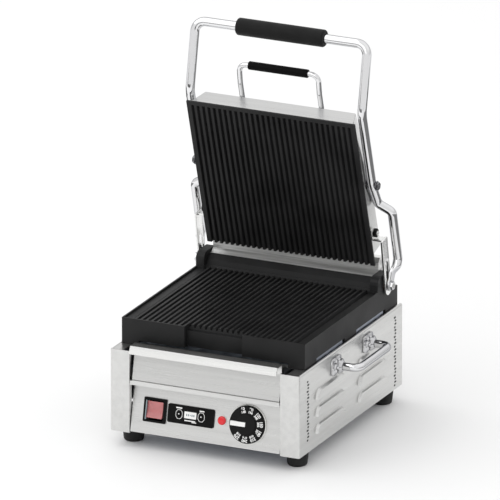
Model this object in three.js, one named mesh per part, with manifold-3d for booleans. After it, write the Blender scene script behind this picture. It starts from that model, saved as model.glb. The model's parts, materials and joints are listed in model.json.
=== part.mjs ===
// A table-top panini press: a stainless steel base with a ribbed cast plate, and a lid that swings on a
// handle frame behind it. Millimetres, +Z up, X to the right, Y to the back; the origin is on the floor
// under the middle of the base. The lid stands open, leaning forward over its hinge.
import * as THREE from "three";
import { ConvexGeometry } from "three/addons/geometries/ConvexGeometry.js";
import { mergeVertices } from "three/addons/utils/BufferGeometryUtils.js";
import Module from "manifold-3d";

const wasm = await Module();
wasm.setup();

// Driving dimensions
const GAP = 0.3; // between pieces that touch
const SHEET = 1.5; // folded steel of the base
const BASE_X = 157.5; // half width of the base
const FRONT_Y = -188;
const BACK_Y = 188;
const FLOOR_Z = 24; // underside of the base, on its feet
const TOP_Z = 155; // top edge of the side panels
const POST_X = 125.5; // inner edge of the two front posts
const SHELF_Z = 108.4; // top of the shelf that the drip tray slides on
const PANEL_MID_Z = 63.5; // height of the row of controls
const PANEL_TILT = Math.atan(0.2133); // the control panel leans back
const PANEL_MID_Y = FRONT_Y + 0.2133 * (PANEL_MID_Z - FLOOR_Z - 1);
const PLATE_X = 152.5; // half width of the lower casting
const PLATE_FRONT_Y = -157;
const PLATE_BACK_Y = 181;
const PLATE_TOP_Z = 196;
const RIB_PITCH = 9;
const GROOVE_DEPTH = 5;
const HINGE = { y: 137, z: 200 }; // axis of the hinge shaft, along X
const LID_EDGE = { y: 124, z: 232 }; // lower edge of the lid's cooking face
const LID_LEAN = THREE.MathUtils.degToRad(17); // the open lid leans this far forward from upright
const LID_LENGTH = 260;
const LID_X = 140.4; // half width of the upper plate
const COVER_X = 135.8; // half width of the lid's cover
const COVER_DEPTH = 38; // cooking face to the back of the cover
const SMALL_GRIP = { y: 47.2, z: 308.5 }; // axis of the small handle's grip, in the lid's frame
const FRAME_PIVOT = { y: 106.4, z: 367.7 }; // where the lid hangs in the handle frame
const STRAP_BOLT = { y: 121, z: 287 }; // where the strap links hold the lid
const FRAME_X = 143.4; // centre line of the handle frame's tubes
const FRAME_R = 7;
const ARM_X = 165; // the lower part of the handle frame's arms
const EYE = { inner: 158, outer: 162 }; // the flattened ends of the arms, on the shaft
const EYE_R = 8.5;
const STRAP_X = 154.5; // inner face of a strap link's lower leg
const STRAP_THICK = 3;

// Materials
const material = (color, roughness, metalness) =>
  new THREE.MeshStandardMaterial({ color, roughness, metalness });
const STAINLESS = material(0xd0d0ce, 0.35, 1);
const CHROME = material(0xe8e8e8, 0.08, 1);
const GALVANISED = material(0x8a8f9c, 0.5, 0.9);
const CAST_IRON = material(0x242424, 0.6, 0.3);
const BLACK_PLASTIC = material(0x151515, 0.5, 0);
const RED_PLASTIC = material(0xcc8080, 0.3, 0);
const LAMP_RED = material(0xe01825, 0.15, 0);
const PALE_PLASTIC = material(0xe6e6e0, 0.4, 0);
const RUBBER = material(0x1a1a1a, 0.8, 0);
const STEEL = material(0x9a9a98, 0.4, 1);
const BRONZE = material(0xa87a3c, 0.4, 1);
const WOOL = material(0xd8d2c0, 0.95, 0);

// Solids ---------------------------------------------------------------------------------------

// A three.js geometry as a solid that can be joined and cut.
function solid(geometry) {
  const bare = geometry.clone();
  bare.deleteAttribute("normal");
  bare.deleteAttribute("uv");
  const merged = mergeVertices(bare, 1e-4);
  const triVerts = new Uint32Array(merged.index.array);
  const vertProperties = merged.attributes.position.array;
  return new wasm.Manifold(new wasm.Mesh({ numProp: 3, vertProperties, triVerts }));
}

function geometryOf(body) {
  const mesh = body.getMesh();
  const geometry = new THREE.BufferGeometry();
  geometry.setAttribute("position", new THREE.BufferAttribute(mesh.vertProperties, 3));
  geometry.setIndex(new THREE.BufferAttribute(mesh.triVerts, 1));
  geometry.computeVertexNormals();
  return geometry;
}

const join = (...bodies) => bodies.reduce((whole, body) => whole.add(body));
const cut = (body, ...tools) => tools.reduce((rest, tool) => rest.subtract(tool), body);

function box(x0, x1, y0, y1, z0, z1) {
  const geometry = new THREE.BoxGeometry(x1 - x0, y1 - y0, z1 - z0);
  return solid(geometry.translate((x0 + x1) / 2, (y0 + y1) / 2, (z0 + z1) / 2));
}

const hull = (points) => solid(new ConvexGeometry(points.map((p) => new THREE.Vector3(...p))));

// A round bar along X, from x0 to x1.
function roundX(radius, x0, x1, y, z, sides = 20) {
  const geometry = new THREE.CylinderGeometry(radius, radius, x1 - x0, sides);
  return solid(geometry.rotateZ(Math.PI / 2).translate((x0 + x1) / 2, y, z));
}

// A turned piece along Y: pairs of radius and y, from one end of the axis to the other.
function turnedY(profile, x, z, sides = 24) {
  const points = profile.map(([r, y]) => new THREE.Vector2(r, y));
  return solid(new THREE.LatheGeometry(points, sides).translate(x, 0, z));
}

// An outline in the Y-Z plane, pushed out along X.
function slabX(outline, x0, x1) {
  const shape = new THREE.Shape(outline.map(([y, z]) => new THREE.Vector2(y, z)));
  const geometry = new THREE.ExtrudeGeometry(shape, { depth: x1 - x0, bevelEnabled: false });
  const toYZ = new THREE.Matrix4().set(0, 0, 1, x0, 1, 0, 0, 0, 0, 1, 0, 0, 0, 0, 0, 1);
  return solid(geometry.applyMatrix4(toYZ));
}

// The outline of a sheet folded along a line of points, thickened to the left of the line.
function folded(line, thickness) {
  const side = line.map(([y, z], i) => {
    const before = line[Math.max(i - 1, 0)];
    const after = line[Math.min(i + 1, line.length - 1)];
    const a = i > 0 ? normalOf(before, [y, z]) : normalOf([y, z], after);
    const b = i < line.length - 1 ? normalOf([y, z], after) : a;
    const stretch = thickness / (1 + a[0] * b[0] + a[1] * b[1]);
    return [y + (a[0] + b[0]) * stretch, z + (a[1] + b[1]) * stretch];
  });
  return [...line, ...side.reverse()];
}

function normalOf([y0, z0], [y1, z1]) {
  const length = Math.hypot(y1 - y0, z1 - z0);
  return [-(z1 - z0) / length, (y1 - y0) / length];
}

// A centre line of straights joined by round bends, with a station at each end of each short step.
class BentLine extends THREE.Curve {
  constructor(corners, bends, stepsPerBend = 4) {
    super();
    const points = corners.map((c) => new THREE.Vector3(...c));
    this.stations = [];
    this.tangents = [];
    points.forEach((corner, i) => {
      const inward = i > 0 ? corner.clone().sub(points[i - 1]).normalize() : null;
      const outward = i < points.length - 1 ? points[i + 1].clone().sub(corner).normalize() : null;
      if (inward && outward) this.addBend(corner, inward, outward, bends[i], stepsPerBend);
      else this.addStation(corner, inward ?? outward);
    });
  }

  addBend(corner, inward, outward, radius, steps) {
    const turn = inward.angleTo(outward);
    const start = corner.clone().addScaledVector(inward, -radius * Math.tan(turn / 2));
    const toCentre = outward.clone().sub(inward).normalize();
    const centre = corner.clone().addScaledVector(toCentre, radius / Math.cos(turn / 2));
    const axis = inward.clone().cross(outward).normalize();
    for (let k = 0; k <= steps; k++) {
      const angle = (turn * k) / steps;
      const arm = start.clone().sub(centre).applyAxisAngle(axis, angle);
      this.addStation(centre.clone().add(arm), inward.clone().applyAxisAngle(axis, angle));
    }
  }

  addStation(point, tangent) {
    this.stations.push(point);
    this.tangents.push(tangent);
  }

  get steps() {
    return this.stations.length - 1;
  }

  getPointAt(u) {
    return this.stations[Math.round(u * this.steps)].clone();
  }

  getTangentAt(u) {
    return this.tangents[Math.round(u * this.steps)].clone();
  }
}

// A round bar bent along a line of corners; bends holds one radius for each corner.
function bentBar(corners, bends, radius, sides = 10) {
  const path = new BentLine(corners, bends);
  const circle = new THREE.Shape().absarc(0, 0, radius, 0, Math.PI * 2);
  const options = { extrudePath: path, steps: path.steps, curveSegments: sides / 2, bevelEnabled: false };
  return solid(new THREE.ExtrudeGeometry(circle, options));
}

// A close-wound coil round the hinge shaft.
class Coil extends THREE.Curve {
  constructor(radius, turns, x0, x1) {
    super();
    Object.assign(this, { radius, turns, x0, x1 });
  }

  getPoint(t) {
    const angle = t * this.turns * Math.PI * 2;
    return new THREE.Vector3(
      this.x0 + (this.x1 - this.x0) * t,
      HINGE.y + this.radius * Math.cos(angle),
      HINGE.z + this.radius * Math.sin(angle),
    );
  }
}

// The same solid on the other side of the middle plane.
function mirrored(body) {
  const mesh = body.getMesh();
  const vertProperties = mesh.vertProperties.map((value, i) => (i % 3 === 0 ? -value : value));
  const triVerts = mesh.triVerts.toReversed();
  return new wasm.Manifold(new wasm.Mesh({ numProp: 3, vertProperties, triVerts }));
}

const part = new THREE.Group();

function add(group, name, body, look) {
  const mesh = new THREE.Mesh(geometryOf(body), look);
  mesh.name = name;
  group.add(mesh);
}

function addPair(group, name, rightBody, look) {
  add(group, name + "_right", rightBody, look);
  add(group, name + "_left", mirrored(rightBody), look);
}

// Base -----------------------------------------------------------------------------------------

// A louver is pressed out of the panel: a hood that is closed along its top and ends, and open below.
const LOUVER = { out: 4.5, tall: 15, corner: 14, slope: 2, wall: 1 };
const LOUVER_COLUMNS = [
  [-130, -25],
  [25, 130],
];
const LOUVER_TOPS = [115, 88, 60.5];

// The louver's outline, in Y and Z, drawn in by inset along its top and ends.
function louverOutline(y0, y1, low, top, inset) {
  const radius = LOUVER.corner - inset;
  const points = [
    [y0 + inset, low],
    [y1 - inset, low],
  ];
  for (let k = 0; k <= 4; k++) {
    const angle = (k * Math.PI) / 8;
    const reach = radius * (1 - Math.cos(angle)) + inset;
    const z = top - LOUVER.corner + radius * Math.sin(angle);
    points.push([y0 + reach, z], [y1 - reach, z]);
  }
  return points;
}

// The hood without its hollow, or with inset and drop the hollow itself.
function louverShape(y0, y1, top, out, inset, drop) {
  const low = top - LOUVER.tall - drop;
  const root = louverOutline(y0, y1, low, top, inset);
  const crest = louverOutline(y0, y1, low, top, inset + LOUVER.slope);
  return hull([
    ...root.map(([y, z]) => [BASE_X - SHEET - drop, y, z]),
    ...root.map(([y, z]) => [BASE_X, y, z]),
    ...crest.map(([y, z]) => [BASE_X + out, y, z]),
  ]);
}

const HEM = 3.5; // the width of each side panel's folded top edge
const LEDGE = { x: 136, back: PLATE_FRONT_Y - 1.3 }; // the flange on top of each front post

function sidePanel() {
  const inner = BASE_X - SHEET;
  let panel = join(
    box(inner, BASE_X, FRONT_Y, BACK_Y, FLOOR_Z, TOP_Z),
    box(POST_X, BASE_X, FRONT_Y, FRONT_Y + SHEET, FLOOR_Z, TOP_Z),
    box(POST_X, POST_X + SHEET, FRONT_Y, FRONT_Y + 8, FLOOR_Z, TOP_Z),
    box(BASE_X - 16, BASE_X, FRONT_Y, BACK_Y, FLOOR_Z, FLOOR_Z + SHEET),
    box(BASE_X - HEM, BASE_X, FRONT_Y, BACK_Y, TOP_Z - SHEET, TOP_Z),
    box(LEDGE.x, BASE_X, FRONT_Y, LEDGE.back, TOP_Z - SHEET, TOP_Z),
  );
  for (const [y0, y1] of LOUVER_COLUMNS)
    for (const top of LOUVER_TOPS) {
      const hood = louverShape(y0, y1, top, LOUVER.out, 0, 0);
      const hollow = louverShape(y0, y1, top, LOUVER.out - LOUVER.wall, LOUVER.wall * 1.3, 1);
      panel = cut(join(panel, hood), hollow);
    }
  return panel;
}

function foot(x, y) {
  const profile = [
    [0, 0],
    [13.5, 0],
    [15.5, 2.5],
    [17.5, FLOOR_Z - GAP],
    [0, FLOOR_Z - GAP],
  ].map(([r, z]) => new THREE.Vector2(r, z));
  return solid(new THREE.LatheGeometry(profile, 24).rotateX(Math.PI / 2).translate(x, y, 0));
}

// The carrying handle on each side: a flared mount at each end of a D-shaped bar.
const BAR = { y: 58, z: 133, x: 196, radius: 6, mountEnd: 172 };

function handleBar() {
  const start = BAR.mountEnd + GAP;
  const corners = [
    [start, -BAR.y, BAR.z],
    [BAR.x, -BAR.y, BAR.z],
    [BAR.x, BAR.y, BAR.z],
    [start, BAR.y, BAR.z],
  ];
  return bentBar(corners, [0, 12, 12, 0], BAR.radius, 12);
}

function handleMount(y) {
  const points = [];
  for (const [x, halfY, halfZ] of [
    [BASE_X + GAP, 17, 13.6],
    [BASE_X + 3.2, 17, 13.6],
    [BASE_X + 8, 11.5, 10.4],
    [BAR.mountEnd, 7, 7],
  ])
    for (const sy of [-1, 1])
      for (const sz of [-1, 1]) {
        points.push([x, y + sy * halfY, BAR.z + (sz * halfZ) / 2]);
        points.push([x, y + (sy * halfY) / 2, BAR.z + sz * halfZ]);
      }
  return hull(points);
}

function basePan() {
  const z = FLOOR_Z + SHEET + GAP + SHEET + GAP;
  const edge = BASE_X - SHEET - GAP;
  const rise = 12;
  return join(
    box(-edge, edge, FRONT_Y + 9, BACK_Y - SHEET - 1, z, z + SHEET),
    box(edge - SHEET, edge, FRONT_Y + 9, BACK_Y - SHEET - 1, z, z + rise),
    box(-edge, -edge + SHEET, FRONT_Y + 9, BACK_Y - SHEET - 1, z, z + rise),
  );
}

const GLAND = { x: -90, z: 70 };

function rearPanel() {
  const edge = BASE_X - SHEET - GAP;
  let panel = box(-edge, edge, BACK_Y - SHEET, BACK_Y, FLOOR_Z + SHEET + GAP, TOP_Z - 5);
  for (let i = -4; i <= 4; i++)
    for (const z of [105, 125]) {
      const vent = box(i * 24 - 9, i * 24 + 9, BACK_Y - 4, BACK_Y + 4, z, z + 5);
      panel = cut(panel, vent);
    }
  const hole = [
    [0, BACK_Y - 5],
    [8, BACK_Y - 5],
    [8, BACK_Y + 5],
    [0, BACK_Y + 5],
  ];
  return cut(panel, turnedY(hole, GLAND.x, GLAND.z));
}

// The bush that the mains lead goes through, open along its middle.
function cordGland() {
  const profile = [
    [4, BACK_Y - 10],
    [7.6, BACK_Y - 10],
    [7.6, BACK_Y + GAP],
    [12, BACK_Y + GAP],
    [12, BACK_Y + 4],
    [8, BACK_Y + 9],
    [4, BACK_Y + 9],
    [4, BACK_Y - 10],
  ];
  return turnedY(profile, GLAND.x, GLAND.z);
}

// The shelf has a bright lip at the front and carries the drip tray.
const LIP_Y = FRONT_Y - 0.5;

function trayShelf() {
  const edge = BASE_X - SHEET - GAP;
  const low = SHELF_Z - SHEET;
  return join(
    box(-124.4, 124.4, LIP_Y, FRONT_Y + 12, low, SHELF_Z),
    box(-124.4, 124.4, LIP_Y, LIP_Y + SHEET, SHELF_Z - 6.5, SHELF_Z),
    box(-edge, edge, FRONT_Y + 9, BACK_Y - SHEET - 1, low, SHELF_Z),
  );
}

// The rails stand on the shelf beside the drip tray and carry the casting.
function trayRail() {
  const x = 126;
  const line = [
    [x + 22, SHELF_Z + GAP],
    [x, SHELF_Z + GAP],
    [x, 153.5],
    [x + 20, 153.5],
  ];
  const outline = folded(line, -SHEET).map(([a, z]) => new THREE.Vector2(a, z));
  const options = { depth: 300, bevelEnabled: false };
  const geometry = new THREE.ExtrudeGeometry(new THREE.Shape(outline), options);
  return solid(geometry.rotateX(Math.PI / 2).translate(0, 160, 0));
}

const TRAY = { x: 122.5, back: -40, floor: SHELF_Z + 0.5, wall: 1.2 };

function dripTray() {
  const line = [
    [-195.9, 153],
    [-190.5, 163.8],
    [-175.5, 163.8],
    [-175.8, 150],
    [-184.6, TRAY.floor],
    [TRAY.back, TRAY.floor],
    [TRAY.back, 140],
  ];
  const sheet = slabX(folded(line, TRAY.wall), -TRAY.x, TRAY.x);
  const cheek = [
    [-184.4, TRAY.floor],
    [TRAY.back, TRAY.floor],
    [TRAY.back, 140],
    [-175.6, 150],
  ];
  const right = slabX(cheek, TRAY.x - TRAY.wall, TRAY.x);
  return join(sheet, right, mirrored(right));
}

// Control panel --------------------------------------------------------------------------------
// It and the controls are made in the panel's own frame: X along it, Z up it, its face at Y = 0.

const SWITCH = { x: -86, half: 18.8, bodyHalf: 16.2, pocketX: 14, pocketZ: 15.5, pivot: 5, tilt: 0.1 };
const TIMER = { x: -26, halfX: 38.6, halfZ: 14.4, buttons: [-45.5, -8.6], buttonR: 3.6, buttonZ: 0.5 };
const LAMP = { x: 25.5, radius: 6.5 };
const DIAL = { x: 68.4, radius: 29, ring: 31, boss: 16 };

function hole(radius, x, z) {
  const profile = [
    [0, -8],
    [radius, -8],
    [radius, 8],
    [0, 8],
  ];
  return turnedY(profile, x, z);
}

function controlPanel() {
  const half = 124.4;
  const low = -37.6;
  const face = box(-half, half, 0, SHEET, low, 35.6);
  const foldedUnder = box(-half, half, 0.1, 9, low, low + SHEET);
  return cut(
    join(face, foldedUnder),
    box(SWITCH.x - 16.7, SWITCH.x + 16.7, -4, 4, -16.7, 16.7),
    box(TIMER.x - 35.5, TIMER.x + 35.5, -4, 4, -12.5, 12.5),
    hole(5.6, LAMP.x, 0),
    hole(4.5, DIAL.x, 0),
  );
}

function switchHousing() {
  const { x, half, bodyHalf, pocketX, pocketZ } = SWITCH;
  return cut(
    join(
      box(x - half, x + half, -2.3, -GAP, -half, half),
      box(x - bodyHalf, x + bodyHalf, -1, 24, -bodyHalf, bodyHalf),
    ),
    box(x - pocketX, x + pocketX, -4, 16, -pocketZ, pocketZ),
  );
}

// The rocker is a shallow V that tips about an axis behind its middle, at Y = 0 in its own frame.
function rocker() {
  const z = SWITCH.pocketZ - 2.6;
  const outline = [
    [-8.6, z],
    [-6.4, 0],
    [-8.6, -z],
    [1, -z + 2],
    [7, 0],
    [1, z - 2],
  ];
  return slabX(outline, SWITCH.x - SWITCH.pocketX + 0.5, SWITCH.x + SWITCH.pocketX - 0.5);
}

function timerModule() {
  const { x, halfX, halfZ, buttons, buttonR, buttonZ } = TIMER;
  const body = join(
    box(x - halfX, x + halfX, -2, -GAP, -halfZ, halfZ),
    box(x - 35, x + 35, -1, 30, -12, 12),
  );
  const wells = buttons.map((bx) => {
    const profile = [
      [0, -5],
      [buttonR + 0.4, -5],
      [buttonR + 0.4, 6],
      [0, 6],
    ];
    return turnedY(profile, bx, buttonZ);
  });
  return cut(body, ...wells);
}

function timerButton(x) {
  const profile = [
    [0, -3.4],
    [TIMER.buttonR - 0.6, -3.4],
    [TIMER.buttonR, -2.8],
    [TIMER.buttonR, 4.2],
    [0, 4.2],
  ];
  return turnedY(profile, x, TIMER.buttonZ, 16);
}

function indicatorLamp() {
  const profile = [
    [0, -4.6],
    [3.4, -4.1],
    [5.6, -2.6],
    [LAMP.radius, -0.9],
    [LAMP.radius, -GAP],
    [5.2, -GAP],
    [5.2, 22],
    [0, 22],
  ];
  return turnedY(profile, LAMP.x, 0);
}

function dialRing() {
  const profile = [
    [DIAL.radius + 0.5, -1.8],
    [DIAL.ring, -1.4],
    [DIAL.ring, -GAP],
    [DIAL.radius + 0.5, -GAP],
    [DIAL.radius + 0.5, -1.8],
  ];
  return turnedY(profile, DIAL.x, 0, 40);
}

// A flat disc with a raised boss, and a bore for the thermostat's spindle from behind.
function dial() {
  const profile = [
    [0, -9],
    [DIAL.boss - 1, -9],
    [DIAL.boss, -8],
    [DIAL.boss, -6],
    [DIAL.radius - 1.5, -6],
    [DIAL.radius, -4.5],
    [DIAL.radius, -1],
    [3.5, -1],
    [3.5, -7.8],
    [0, -7.8],
  ];
  return turnedY(profile, DIAL.x, 0, 40);
}

function thermostatBody() {
  const spindle = [
    [0, -7.2],
    [3, -7.2],
    [3, 3],
    [0, 3],
  ];
  return join(box(DIAL.x - 17, DIAL.x + 17, 2, 34, -17, 17), turnedY(spindle, DIAL.x, 0, 16));
}

// Lower plate and what is under it -----------------------------------------------------------------

const CHEEK = { inner: 139, front: 108.5, top: 218.5, back: 156, corner: 12 };
const WINDOW_TOP_Z = 161;
const WINDOWS = [
  [-115, -12],
  [30, 137],
]; // low cut-outs in the side walls, from Y to Y
const SPOUT = { half: 48, depth: 9, ledge: 13, floor: 187 };
const SHAFT_R = 6.3;
const BUSH_R = 9.5;

// The top of a ribbed plate, as an outline of width and height: grooves between flat ribs.
function ribbedOutline(half, low, top, grooves) {
  const outline = [
    [-half, low],
    [half, low],
    [half, top],
  ];
  for (let i = grooves - 1; i >= 0; i--) {
    const x = (i - (grooves - 1) / 2) * RIB_PITCH;
    outline.push([x + 2.6, top], [x + 1.3, top - GROOVE_DEPTH]);
    outline.push([x - 1.3, top - GROOVE_DEPTH], [x - 2.6, top]);
  }
  outline.push([-half, top]);
  return outline;
}

function pushAlongY(outline, y0, y1) {
  const shape = new THREE.Shape(outline.map(([x, z]) => new THREE.Vector2(x, z)));
  const geometry = new THREE.ExtrudeGeometry(shape, { depth: y1 - y0, bevelEnabled: false });
  return solid(geometry.rotateX(Math.PI / 2).translate(0, y1, 0));
}

// The cheek's outline: a hump round the hinge, with a rounded top front corner.
function cheekOutline() {
  const { front, top, back, corner } = CHEEK;
  const outline = [[front, 178]];
  for (let k = 0; k <= 4; k++) {
    const angle = Math.PI - (k * Math.PI) / 8;
    outline.push([front + corner + corner * Math.cos(angle), top - corner + corner * Math.sin(angle)]);
  }
  outline.push([back - 9, top], [back, top - 7], [back + 2, 186], [PLATE_BACK_Y, 186], [PLATE_BACK_Y, 178]);
  return outline.reverse();
}

function lowerPlate() {
  const skirt = 5;
  const rearDeckZ = 186;
  const rimWidth = 2.5;
  const ribsFrontY = PLATE_FRONT_Y + rimWidth;
  const grooves = 31;
  const lastGroove = ((grooves - 1) / 2) * RIB_PITCH;
  const ribbed = pushAlongY(ribbedOutline(PLATE_X, 178, PLATE_TOP_Z, grooves), ribsFrontY, 112);
  const rim = box(-PLATE_X, PLATE_X, PLATE_FRONT_Y, PLATE_FRONT_Y + rimWidth + 0.1, 178, PLATE_TOP_Z);
  const marginTop = PLATE_TOP_Z - 3;
  const margin = box(lastGroove - 1.3, PLATE_X - rimWidth, ribsFrontY, 106, marginTop, PLATE_TOP_Z + 1);
  const rear = slabX(
    [
      [111.9, 178],
      [PLATE_BACK_Y, 178],
      [PLATE_BACK_Y, rearDeckZ],
      [127, rearDeckZ],
      [124, 201],
      [121, 201],
      [111.9, 193],
    ],
    -PLATE_X,
    PLATE_X,
  );
  const cheek = slabX(cheekOutline(), CHEEK.inner, PLATE_X);
  const spoutBackY = PLATE_FRONT_Y + SPOUT.depth;
  const frontCorner = box(TRAY.x + 2, PLATE_X, PLATE_FRONT_Y, PLATE_FRONT_Y + skirt, 154.3, 178.1);
  const walls = join(
    frontCorner,
    mirrored(frontCorner),
    box(-PLATE_X, PLATE_X, PLATE_FRONT_Y, PLATE_FRONT_Y + skirt, 162, 178.1),
    box(-SPOUT.half - skirt, SPOUT.half + skirt, PLATE_FRONT_Y, spoutBackY + skirt, 162, 178.1),
    box(-PLATE_X, PLATE_X, PLATE_BACK_Y - skirt, PLATE_BACK_Y, 154, 178.1),
    box(PLATE_X - skirt, PLATE_X, PLATE_FRONT_Y, PLATE_BACK_Y, 154.3, 178.1),
    box(-PLATE_X, -PLATE_X + skirt, PLATE_FRONT_Y, PLATE_BACK_Y, 154.3, 178.1),
  );
  const windows = WINDOWS.map(([y0, y1]) => box(-PLATE_X - 1, PLATE_X + 1, y0, y1, 153, WINDOW_TOP_Z));
  const spout = join(
    box(-SPOUT.half, SPOUT.half, PLATE_FRONT_Y - 1, spoutBackY, 160, 200),
    box(-SPOUT.half, SPOUT.half, PLATE_FRONT_Y - 1, PLATE_FRONT_Y + SPOUT.ledge, SPOUT.floor, 200),
  );
  return cut(
    join(ribbed, rim, rear, cheek, mirrored(cheek), walls),
    ...windows,
    spout,
    margin,
    mirrored(margin),
    roundX(BUSH_R + GAP, -PLATE_X - 1, PLATE_X + 1, HINGE.y, HINGE.z, 24),
  );
}

function bearingBush() {
  return cut(
    roundX(BUSH_R, CHEEK.inner, PLATE_X, HINGE.y, HINGE.z, 24),
    roundX(SHAFT_R + 0.4, CHEEK.inner - 1, PLATE_X + 1, HINGE.y, HINGE.z, 24),
  );
}

// An open pan between the tray rails and the casting, with a flange that fills most of each window.
function heatShield() {
  const floorZ = 153.8 + GAP;
  const inside = box(-145.8, 145.8, -141.7, 84, floorZ + 1.1, 180);
  const pan = cut(box(-146.8, 146.8, -142.7, 85, floorZ, 174), inside);
  const flanges = WINDOWS.map(([y0, y1]) =>
    box(145.8, PLATE_X - 0.7, y0 + GAP, y1 - 8, floorZ, WINDOW_TOP_Z - GAP),
  );
  return join(pan, ...flanges, ...flanges.map(mirrored));
}

// A heating rod that runs up and down four times; its plane is set by place.
function heatingRod(radius, halfWidth, near, far, place) {
  const corners = [
    [-halfWidth, near],
    [-halfWidth, far],
    [-halfWidth / 3, far],
    [-halfWidth / 3, near + 30],
    [halfWidth / 3, near + 30],
    [halfWidth / 3, far],
    [halfWidth, far],
    [halfWidth, near],
  ];
  const bend = 20;
  return bentBar(corners.map(place), corners.map(() => bend), radius, 8);
}

function terminalBlock() {
  let block = box(20, 80, 120, 142, 30, 48);
  for (let i = 0; i < 4; i++) block = cut(block, box(24 + i * 14, 34 + i * 14, 118, 126, 38, 50));
  return block;
}

// The cover over the hinge shaft: one folded sheet with closed ends, open below.
function rearCover() {
  const outer = [
    [121.6, 203.9],
    [141, 218],
    [141.5, 231],
    [147, 238],
    [158, 238],
    [179, 205],
    [179, 186.4],
  ];
  const wall = 1.2;
  const inner = folded(outer, -wall).slice(outer.length).reverse();
  const floorOf = (line) => [...line, [line[0][0], 186.4]];
  const whole = slabX(floorOf(outer).reverse(), -138.6, 138.6);
  const hollowFront = inner[0][0] - 4;
  const hollowFloor = [
    [179 - wall, 180],
    [hollowFront, 180],
  ];
  const hollowLine = [[hollowFront, inner[0][1] - 3], ...inner.slice(1, -1), ...hollowFloor];
  const hollow = slabX(hollowLine.reverse(), -138.6 + wall, 138.6 - wall);
  const wallRoom = box(-140, 140, 110, 128, 180, 203.6);
  return cut(whole, hollow, wallRoom, roundX(SHAFT_R + 1.2, -140, 140, HINGE.y, HINGE.z));
}

function torsionSpring() {
  const path = new Coil(8.9, 6, 60, 96);
  const circle = new THREE.Shape().absarc(0, 0, 1.7, 0, Math.PI * 2);
  const options = { extrudePath: path, steps: 60, curveSegments: 3, bevelEnabled: false };
  return solid(new THREE.ExtrudeGeometry(circle, options));
}

// Hinge and handle frame -----------------------------------------------------------------------------

const PIN_R = 4; // the shaft's ends, on which the straps slide and the frame's eyes are held
const PIN_END = 167;

function hingeShaft() {
  return join(
    roundX(SHAFT_R, -153.4, 153.4, HINGE.y, HINGE.z, 20),
    roundX(PIN_R, -PIN_END, PIN_END, HINGE.y, HINGE.z, 16),
  );
}

// An arm's flattened end: it narrows from the tube to a flat tongue, with the eye at the tongue's end.
function armEnd(corner) {
  const slant = Math.atan2(corner.y - HINGE.y, corner.z - HINGE.z);
  const tubeEnd = 9; // distances from the path's last bend
  const tongueStart = 24;
  const at = (distance, across, x) => [
    x,
    corner.y - distance * Math.sin(slant) + across * Math.cos(slant),
    corner.z - distance * Math.cos(slant) - across * Math.sin(slant),
  ];
  const length = Math.hypot(corner.y - HINGE.y, corner.z - HINGE.z);
  const disc = [];
  for (let k = 0; k < 12; k++) {
    const angle = (k * Math.PI) / 6;
    disc.push(at(tubeEnd, FRAME_R * Math.sin(angle), ARM_X + FRAME_R * Math.cos(angle)));
  }
  const flat = (distance) =>
    [-EYE_R, EYE_R].flatMap((across) => [at(distance, across, EYE.inner), at(distance, across, EYE.outer)]);
  return join(
    hull([...disc, ...flat(tongueStart)]),
    hull([...flat(tongueStart), ...flat(length)]),
    roundX(EYE_R, EYE.inner, EYE.outer, HINGE.y, HINGE.z, 24),
  );
}

function handleFrame() {
  const lastBend = { y: 155, z: 238 };
  const right = [
    [FRAME_X, 89.5, 597],
    [FRAME_X, 68.5, 492],
    [FRAME_X, FRAME_PIVOT.y, FRAME_PIVOT.z],
    [FRAME_X, 128, 332],
    [ARM_X, 133, 320],
    [ARM_X, lastBend.y, lastBend.z],
    [ARM_X, 151.1, 229.8],
  ];
  const bends = [17, 40, 60, 10, 10, 8, 0];
  const left = right.map(([x, y, z]) => [-x, y, z]).reverse();
  const tube = bentBar([...left, ...right], [...bends.toReversed(), ...bends], FRAME_R, 12);
  const end = armEnd(lastBend);
  return cut(
    join(tube, end, mirrored(end)),
    roundX(PIN_R + GAP, -PIN_END, PIN_END, HINGE.y, HINGE.z, 16),
    roundX(4.4, -170, 170, FRAME_PIVOT.y, FRAME_PIVOT.z, 16),
  );
}

// A grip along X round a bar of the given radius.
function grip(halfLength, radius, barRadius, y, z) {
  const round = (radius - barRadius) * 0.4;
  const profile = [
    [barRadius + GAP, -halfLength],
    [radius - round, -halfLength],
    [radius - round * 0.3, -halfLength + round * 0.3],
    [radius, -halfLength + round],
    [radius, halfLength - round],
    [radius - round * 0.3, halfLength - round * 0.3],
    [radius - round, halfLength],
    [barRadius + GAP, halfLength],
    [barRadius + GAP, -halfLength],
  ].map(([r, x]) => new THREE.Vector2(r, x));
  return solid(new THREE.LatheGeometry(profile, 24).rotateZ(Math.PI / 2).translate(0, y, z));
}

function hexNut(radius, x0, x1, bore, y, z) {
  return cut(roundX(radius, x0, x1, y, z, 6), roundX(bore + GAP, x0 - 1, x1 + 1, y, z, 16));
}

// The strap links are made standing on the hinge axis, with the lid's bolt above it.
const STRAP_REACH = Math.hypot(STRAP_BOLT.y - HINGE.y, STRAP_BOLT.z - HINGE.z);
const STRAP_LEAN = Math.atan2(HINGE.y - STRAP_BOLT.y, STRAP_BOLT.z - HINGE.z);
const TAB_X = 137;

// A flat bar in the Y-Z plane with both ends round.
function roundEnded(halfWidth, z0, z1, x0, x1) {
  return join(
    box(x0, x1, -halfWidth, halfWidth, z0 + halfWidth, z1 - halfWidth),
    roundX(halfWidth, x0, x1, 0, z0 + halfWidth, 20),
    roundX(halfWidth, x0, x1, 0, z1 - halfWidth, 20),
  );
}

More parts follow.
